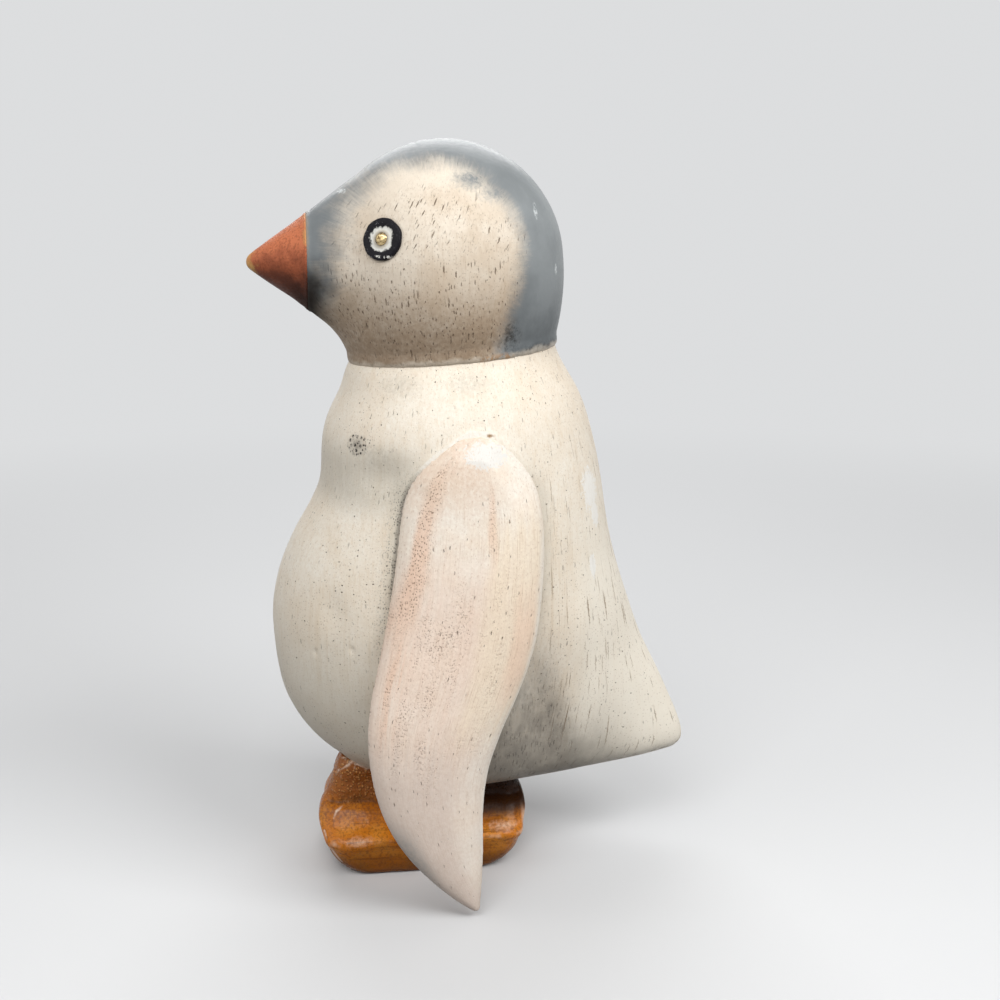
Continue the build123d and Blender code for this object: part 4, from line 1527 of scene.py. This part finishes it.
@dataclass
class Flipper(Carving):
    """A flipper blade, with places along and across it stored for its streaks."""

    slot: str = "flipper_paint"
    finish: Finish = FlipperWash()
    voxel: float = 0.5
    swell_size: float = 26.0
    swell_depth: float = 0.3
    slices: int = 90
    least_width: float = 26.0
    arch: tuple[tuple[float, float], ...] = (
        (-32.6, 140.0), (-30.9, 148.9), (-28.7, 157.8), (-25.2, 163.2), (-20.0, 167.8),
        (-14.8, 170.4), (-9.5, 171.9), (-4.2, 172.4), (1.1, 171.2), (6.5, 167.7),
        (12.0, 162.0), (15.7, 155.7), (18.4, 147.2), (19.4, 140.0),
    )
    arch_low: float = 144.0
    arch_full: float = 160.0
    front_step: float = 0.7
    rear_step: float = 0.15
    step_start: float = -4.0
    step_end: float = 8.0
    slope: float = 0.36
    outer_slope: float = 1.4
    outer_least: float = -1.0
    ray_start: float = 100.0
    face_unit: float = 20.0
    face_terms: int = 5
    face_limits: tuple[float, ...] = (3.0, 1.0, 0.5)
    neighbours: dict[str, tuple[str, ...]] = field(default_factory=lambda: {"body_gap": ("body",)})

    def inside_arch(self, y: np.ndarray, z: np.ndarray) -> np.ndarray:
        """Give how far points lie inside the arch that the blade's top makes on the flank.

        Args:
            y: places along the figure, in millimetres.
            z: heights in millimetres.

        Returns:
            Distances in millimetres, negative outside.
        """
        line = np.array(self.arch)
        nearest = np.full(len(y), FAR)
        for (y0, z0), (y1, z1) in zip(line, line[1:]):
            run, rise = y1 - y0, z1 - z0
            share = np.clip(((y - y0) * run + (z - z0) * rise) / (run**2 + rise**2), 0.0, 1.0)
            nearest = np.minimum(nearest, np.hypot(y - y0 - share * run, z - z0 - share * rise))
        roof = np.interp(y, line[:, 0], line[:, 1], left=0.0, right=0.0)
        return np.where(z < roof, nearest, -nearest)

    def settle(self, points: np.ndarray) -> np.ndarray:
        """Thin the blade's top down to the flank, so that it runs out in a low arch.

        Args:
            points: the carved places in millimetres, one a row.

        Returns:
            Their last places.
        """
        side = 1.0 if points[:, 0].mean() > 0.0 else -1.0
        placed = points.copy()
        upper = np.flatnonzero(points[:, 2] > self.arch_low)
        y, z = points[upper, 1], points[upper, 2]
        depth = self.inside_arch(y, z)
        step = self.front_step + (self.rear_step - self.front_step) * ease(y, self.step_start, self.step_end)
        outside = np.maximum(step + self.outer_slope * depth, self.outer_least)
        most = np.where(depth > 0.0, step + self.slope * depth, outside)
        proud = side * points[upper, 0] - self.flank(y, z, side)
        placed[upper, 0] -= side * ease(z, self.arch_low, self.arch_full) * np.maximum(proud - most, 0.0)
        return placed

    def flank(self, y: np.ndarray, z: np.ndarray, side: float) -> np.ndarray:
        """Give how far out the body's flank is, as a smooth face that leaves out the dowel holes.

        Args:
            y: places along the figure, in millimetres.
            z: heights in millimetres.
            side: 1 for the left flank, -1 for the right.

        Returns:
            Distances from the middle of the figure, in millimetres.
        """
        tree = solid_tree("body")
        start, inward = side * self.ray_start, Vector((-side, 0.0, 0.0))
        found = [tree.ray_cast(Vector((start, a, b)) * MM, inward)[0] for a, b in zip(y, z)]
        out = np.array([np.nan if hit is None else side * hit.x / MM for hit in found])
        u, v = y / self.face_unit, (z - z.mean()) / self.face_unit
        powers = [(i, j) for i in range(self.face_terms) for j in range(self.face_terms - i)]
        terms = np.stack([u**i * v**j for i, j in powers], axis=1)
        good = ~np.isnan(out)
        for limit in self.face_limits:
            shares = np.linalg.lstsq(terms[good], out[good], rcond=None)[0]
            smooth = terms @ shares
            good = ~np.isnan(out) & (np.abs(np.nan_to_num(out) - smooth) < limit)
        return smooth

    def mark(self, mesh: bpy.types.Mesh, points: np.ndarray) -> None:
        """Store places across the blade, front to rear, and along it, top to tip, each from 0 to 1.

        Args:
            mesh: the blade's mesh.
            points: its vertices in millimetres.
        """
        y, z = points[:, 1], points[:, 2]
        top, tip = z.max(), z.min()
        along = (top - z) / (top - tip)
        index = np.minimum((along * self.slices).astype(int), self.slices - 1)
        lead, trail = np.full(self.slices, FAR), np.full(self.slices, -FAR)
        np.minimum.at(lead, index, y)
        np.maximum.at(trail, index, y)
        middle, width = (lead + trail) / 2.0, np.maximum(trail - lead, self.least_width)
        level = (np.arange(self.slices) + 0.5) / self.slices
        centre = np.interp(along, level, middle)
        across = (y - centre) / np.interp(along, level, width) + 0.5
        store(mesh, "along", along)
        store(mesh, "across", across)


@dataclass
class Foot(Carving):
    """A carved foot, with its edges and creases stored for wear, painted highlights and painted shade."""

    slot: str = "foot_varnish"
    finish: Finish = FootVarnish()
    voxel: float = 0.55
    smoothing: int = 4
    swell_size: float = 16.0
    swell_depth: float = 0.45
    facet_size: float = 5.0
    facet_depth: float = 0.16
    tooth_size: float = 1.2
    tooth_depth: float = 0.05
    ridge_rounds: int = 5
    crease_z: float = 27.4
    crease_width: float = 2.0
    crease_depth: float = 1.8
    slope_z: float = 20.5
    slope_width: float = 4.0
    slope_depth: float = 1.5
    brow_z: float = 14.0
    brow_width: float = 2.6
    brow_height: float = 1.3
    wander: float = 1.6
    wander_size: float = 18.0
    wander_shift: float = 5.1
    flank_low: float = 0.15
    flank_high: float = 0.6
    front_low: float = 0.2
    front_high: float = 0.8
    sole_low: float = 0.1
    sole_high: float = 2.0
    toe: float = 0.8
    toe_low: float = 8.0
    toe_high: float = 24.0
    ankle_low: float = 26.0
    ankle_high: float = 31.0
    stipple_size: float = 1.3
    stipple_depth: float = 0.22
    stipple_shift: float = 1.9
    neighbours: dict[str, tuple[str, ...]] = field(default_factory=lambda: {"body_gap": ("body",)})

    def shape(self, points: np.ndarray, facing: np.ndarray, gaps: dict[str, np.ndarray]) -> np.ndarray:
        """Give how far the carver's tools left each point proud of the smooth form.

        Args:
            points: places in millimetres, one a row.
            facing: the way each point faces.
            gaps: distances from the pieces next to this one.

        Returns:
            Heights in millimetres.
        """
        height = super().shape(points, facing, gaps)
        z = points[:, 2]
        level = z + self.wander * ripple(points, self.wander_size, self.seed + self.wander_shift)
        flank = ease(np.abs(facing[:, 0]), self.flank_low, self.flank_high)
        crease = self.crease_depth * bell(level, self.crease_z, self.crease_width)
        slope = self.slope_depth * bell(level, self.slope_z, self.slope_width)
        brow = self.brow_height * bell(level, self.brow_z, self.brow_width)
        height += flank * (brow - crease - slope)
        front = ease(-facing[:, 1], self.front_low, self.front_high) * ease(z, self.toe_low, self.toe_high)
        height += self.toe * front
        ankle = ease(z, self.ankle_low, self.ankle_high)
        height += self.stipple_depth * ankle * ripple(points, self.stipple_size, self.seed + self.stipple_shift)
        return height * ease(z, self.sole_low, self.sole_high)

    def mark(self, mesh: bpy.types.Mesh, points: np.ndarray) -> None:
        """Store the edges and creases.

        Args:
            mesh: the foot's mesh.
            points: its vertices in millimetres.
        """
        store(mesh, "ridge", ridges(mesh, self.ridge_rounds))


@dataclass
class Eye:
    """A black button nailed to the cheek by a domed brass pin. Lengths are in millimetres."""

    side: Side
    lacquer: Finish = EyeLacquer()
    brass: Finish = PinBrass()
    steps: int = 96
    rim_share: float = 0.78
    ring_share: float = 0.50
    flat_share: float = 0.36
    ring_depth: float = 0.22
    rim_rise: float = 0.10
    edge_radius: float = 0.5
    edge_inset: float = 0.8
    edge_start: float = 0.9
    edge_wobble: float = 0.22
    edge_size: float = 2.6
    face_start: float = 0.5
    face_wobble: float = 0.07
    face_size: float = 1.3
    face_shift: float = 2.0
    chamfer_height: float = 0.3
    chamfer_width: float = 0.2
    pin_rings: int = 9
    pin_start: float = 0.05
    pin_wobble: float = 0.24
    pin_size: float = 1.1
    pin_shift: float = 6.0
    shank_share: float = 0.39
    point_length: float = 2.5
    weld: float = 0.001
    seed: float = 4.0

    def seat(self, node: str) -> tuple[Vector, Vector, float, float, float]:
        """Measure a round solid about the eye's axis.

        Args:
            node: the solid's name.

        Returns:
            Its middle, the way it faces, its radius, and its lowest and highest place along that way.
        """
        disc = read_points(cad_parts[f"eye_disc_{self.side.value}"].data)
        low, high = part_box("head")
        inner = np.array((low + high) / 2.0) / MM
        centre = (disc.max(0) + disc.min(0)) / 2.0
        facing = np.linalg.svd(disc - disc.mean(0), full_matrices=False)[2][2]
        facing = facing if facing @ (centre - inner) > 0.0 else -facing
        points = read_points(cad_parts[node].data) - centre
        height = points @ facing
        radius = np.linalg.norm(points - np.outer(height, facing), axis=1).max()
        return Vector(centre), Vector(facing), float(radius), float(height.min()), float(height.max())

    def turned(self, profile: list[tuple[float, float]], centre: Vector, facing: Vector) -> bmesh.types.BMesh:
        """Turn a profile about the eye's axis.

        Args:
            profile: distances from the axis and heights, from the top of the axis to its bottom.
            centre: a point on the axis.
            facing: the way that it points.

        Returns:
            The closed shape in place, in millimetres.
        """
        bm = bmesh.new()
        rail = [bm.verts.new((radius, 0.0, height)) for radius, height in profile]
        edges = [bm.edges.new(pair) for pair in zip(rail, rail[1:])]
        bmesh.ops.spin(
            bm, geom=rail + edges, cent=(0, 0, 0), axis=(0, 0, 1), angle=math.tau, steps=self.steps, use_merge=True
        )
        bmesh.ops.remove_doubles(bm, verts=bm.verts, dist=self.weld)
        bmesh.ops.recalc_face_normals(bm, faces=bm.faces)
        turn = facing.to_track_quat("Z", "Y").to_matrix().to_4x4()
        bmesh.ops.transform(bm, matrix=Matrix.Translation(centre) @ turn, verts=bm.verts)
        return bm

    def finish_piece(self, bm: bmesh.types.BMesh, node: str, finish: Finish) -> bpy.types.Object:
        """Make a shape in millimetres into a dressed piece that stands for a solid.

        Args:
            bm: the shape, which is freed.
            node: the solid's name.
            finish: its finish.

        Returns:
            The piece.
        """
        bmesh.ops.scale(bm, vec=(MM, MM, MM), verts=bm.verts)
        mesh = bpy.data.meshes.new(node)
        bm.to_mesh(mesh)
        bm.free()
        piece = new_piece("made_" + node, mesh)
        dress(piece, node, finish)
        return piece

    def wobble(self, at: Vector, most: float, size: float, shift: float) -> float:
        """Give how far the surface strays at a point.

        Args:
            at: the point, in millimetres.
            most: about the most that it strays.
            size: how wide the lumps are.
            shift: moves the pattern.

        Returns:
            A length in millimetres.
        """
        return most * noise.noise(at / size + Vector((self.seed + shift,) * 3))

    def button_profile(self, radius: float, low: float, high: float) -> list[tuple[float, float]]:
        """Draw the button's half section, with a ring cut round its flat middle.

        Args:
            radius: its radius.
            low: its lowest place along the axis.
            high: its highest.

        Returns:
            Distances from the axis and heights, from the top of the axis to its bottom.
        """
        flat, ring, rim = radius * self.flat_share, radius * self.ring_share, radius * self.rim_share
        curve, rise = self.edge_radius, self.ring_depth + self.rim_rise
        profile = [(0.0, high), (flat * 0.5, high), (flat, high)]
        for part in (0.25, 0.5, 0.75, 1.0):
            profile.append((flat + (ring - flat) * part, high - self.ring_depth * part))
        for part in (0.33, 0.66, 1.0):
            profile.append((ring + (rim - ring) * part, high - self.ring_depth + rise * part))
        profile.append((radius - self.edge_inset, high))
        for degrees in (20, 40, 60, 80):
            angle = math.radians(degrees)
            profile.append((radius - curve + curve * math.sin(angle), high - curve + curve * math.cos(angle)))
        profile += [(radius, low + self.chamfer_height), (radius - self.chamfer_width, low)]
        return profile + [(radius * 0.5, low), (0.0, low)]

    def button(self) -> bpy.types.Object:
        """Turn the black button and make its edge uneven.

        Returns:
            The button.
        """
        node = f"eye_disc_{self.side.value}"
        centre, facing, radius, low, high = self.seat(node)
        bm = self.turned(self.button_profile(radius, low, high), centre, facing)
        for vert in bm.verts:
            away = vert.co - centre
            level = away.dot(facing)
            flat = away - facing * level
            share = flat.length / radius
            if share > self.edge_start:
                vert.co += flat.normalized() * self.wobble(vert.co, self.edge_wobble, self.edge_size, 0.0)
            if level > low + self.face_start and share > self.flat_share:
                vert.co += facing * self.wobble(vert.co, self.face_wobble, self.face_size, self.face_shift)
        piece = self.finish_piece(bm, node, self.lacquer)
        points = read_points(piece.data) - np.array(centre)
        level = points @ np.array(facing)
        flat = points - np.outer(level, np.array(facing))
        store(piece.data, "from_pin", np.linalg.norm(flat, axis=1))
        store(piece.data, "below_pin", -flat[:, 2] / math.sqrt(1.0 - facing.z**2))
        return piece

    def pin(self) -> bpy.types.Object:
        """Turn the brass nail and hammer its head.

        Returns:
            The pin.
        """
        node = f"eye_pin_{self.side.value}"
        centre, facing, radius, low, high = self.seat(node)
        base = self.seat(f"eye_disc_{self.side.value}")[4]
        profile = []
        for index in range(self.pin_rings + 1):
            angle = math.pi / 2.0 * index / self.pin_rings
            profile.append((radius * math.sin(angle), base + (high - base) * math.cos(angle)))
        shank = radius * self.shank_share
        profile += [(shank, base), (shank, low + self.point_length), (0.0, low)]
        bm = self.turned(profile, centre, facing)
        for vert in bm.verts:
            level = (vert.co - centre).dot(facing)
            if level > base + self.pin_start:
                vert.co += facing * self.wobble(vert.co, self.pin_wobble, self.pin_size, self.pin_shift)
        return self.finish_piece(bm, node, self.brass)

    def build(self) -> None:
        """Make the button and its pin."""
        self.button()
        self.pin()


@dataclass
class Dowels:
    """The hidden dowels, kept as their solids in bare wood."""

    nodes: tuple[str, ...] = (
        "neck_dowel",
        "beak_dowel",
        "flipper_dowels_left",
        "flipper_dowels_right",
        "foot_dowels_left",
        "foot_dowels_right",
    )
    finish: Finish = DowelWood()

    def build(self) -> None:
        """Dress the dowels."""
        for name in self.nodes:
            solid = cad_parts[name]
            solid.data.materials.clear()
            solid.data.materials.append(self.finish.material())
            report(solid)


def aim_at(name: str, data: bpy.types.Light | bpy.types.Camera, place: Point, aim: Point) -> bpy.types.Object:
    """Put a lamp or a camera into the scene, so that it looks at a point.

    Args:
        name: the object's name.
        data: the lamp or the camera.
        place: where it stands.
        aim: the point.

    Returns:
        The object.
    """
    made = bpy.data.objects.new(name, data)
    made.location = place
    made.rotation_mode = "QUATERNION"
    made.rotation_quaternion = (Vector(aim) - Vector(place)).to_track_quat("-Z", "Y")
    bpy.context.scene.collection.objects.link(made)
    return made


@dataclass
class Lamp:
    """A square soft light that looks at the figure. Lengths are in metres."""

    name: str
    place: Point
    size: float
    watts: float
    aim: Point = (0.0, 0.0, 0.14)

    def build(self) -> None:
        """Hang the lamp."""
        data = bpy.data.lights.new(self.name, "AREA")
        data.shape = "SQUARE"
        data.size = self.size
        data.energy = self.watts
        aim_at(self.name, data, self.place, self.aim)


@dataclass
class Studio:
    """Camera, lamps, pale floor and surround. Lengths are in metres."""

    eye: Point = (0.5347, -0.0657, 0.255)
    aim: Point = (0.0, 0.0094, 0.140)
    lens: float = 51.48
    sensor: float = 36.0
    clip_start: float = 0.01
    clip_end: float = 50.0
    floor_radius: float = 6.0
    floor_sides: int = 96
    floor_rough: float = 0.8
    floor_color: Rgb = (0.64, 0.645, 0.65)
    surround: Rgb = (0.72, 0.728, 0.736)
    bounce: Rgb = (0.16, 0.16, 0.163)
    ambient: Rgb = (0.075, 0.076, 0.079)
    fade_start: float = 0.30
    fade_end: float = 1.1
    lamps: tuple[Lamp, ...] = (
        Lamp("rear_lamp", (0.62, 0.64, 0.84), 0.75, 10.8),
        Lamp("front_lamp", (0.76, -0.30, 0.92), 0.75, 7.7),
        Lamp("far_lamp", (-0.88, 0.06, 0.90), 0.9, 7.6),
        Lamp("beak_lamp", (0.30, -0.95, 0.60), 0.8, 3.0),
    )

    def camera(self) -> None:
        """Set the camera where the photograph was taken from."""
        data = bpy.data.cameras.new("camera")
        data.sensor_width = self.sensor
        data.lens = self.lens
        data.clip_start, data.clip_end = self.clip_start, self.clip_end
        bpy.context.scene.camera = aim_at("camera", data, self.eye, self.aim)

    def seen(self, g: Graph) -> Socket:
        """Tell what the camera sees, straight or in gloss and glass, from light that falls on things."""
        path = g.node("ShaderNodeLightPath").outputs
        return g.either(path["Is Camera Ray"], path["Is Glossy Ray"], path["Is Transmission Ray"])

    def world(self) -> None:
        """Light everything a little from all round, and show a pale surround."""
        made = bpy.data.worlds.new("surround")
        g = empty_graph(made)
        light = g.node("ShaderNodeBackground", {"Color": self.ambient})
        shown = g.node("ShaderNodeBackground", {"Color": self.surround})
        both = g.node("ShaderNodeMixShader", {0: self.seen(g), 1: light.outputs[0], 2: shown.outputs[0]})
        g.node("ShaderNodeOutputWorld", {"Surface": both.outputs[0]})
        bpy.context.scene.world = made

    def floor(self) -> None:
        """Lay a round floor that keeps the shadow and fades into the surround."""
        bm = bmesh.new()
        bmesh.ops.create_circle(bm, cap_ends=True, segments=self.floor_sides, radius=self.floor_radius)
        mesh = bpy.data.meshes.new("floor")
        bm.to_mesh(mesh)
        bm.free()
        floor = bpy.data.objects.new("floor", mesh)
        bpy.context.scene.collection.objects.link(floor)
        made = bpy.data.materials.new("floor_paper")
        g = empty_graph(made)
        here = g.node("ShaderNodeTexCoord").outputs["Object"]
        tone = g.mix(self.seen(g), self.bounce, self.floor_color)
        paper = g.node("ShaderNodeBsdfPrincipled", {"Base Color": tone, "Roughness": self.floor_rough})
        far = g.node("ShaderNodeEmission", {"Color": self.surround})
        fade = g.both(g.span(g.length(here), self.fade_start, self.fade_end), self.seen(g))
        both = g.node("ShaderNodeMixShader", {0: fade, 1: paper.outputs[0], 2: far.outputs[0]})
        g.node("ShaderNodeOutputMaterial", {"Surface": both.outputs[0]})
        mesh.materials.append(made)

    def build(self) -> None:
        """Set up the studio."""
        self.camera()
        self.world()
        self.floor()
        for lamp in self.lamps:
            lamp.build()
        bpy.context.scene.view_settings.view_transform = "Standard"


TOE_REACH = {Side.LEFT: 0.8, Side.RIGHT: -2.6}


def main() -> None:
    """Build the figure piece by piece, logging each, and set up the studio."""
    logging.basicConfig(level=logging.INFO, format="%(name)s: %(message)s")
    Body().build()
    Head().build()
    Beak().build()
    for index, side in enumerate(Side):
        Flipper(node=f"flipper_{side.value}", seed=12.0 + index).build()
        Foot(node=f"foot_{side.value}", seed=15.0 + index, toe=TOE_REACH[side]).build()
        Eye(side, seed=4.0 + index).build()
    Dowels().build()
    Studio().build()


if __name__ == "__main__":
    main()
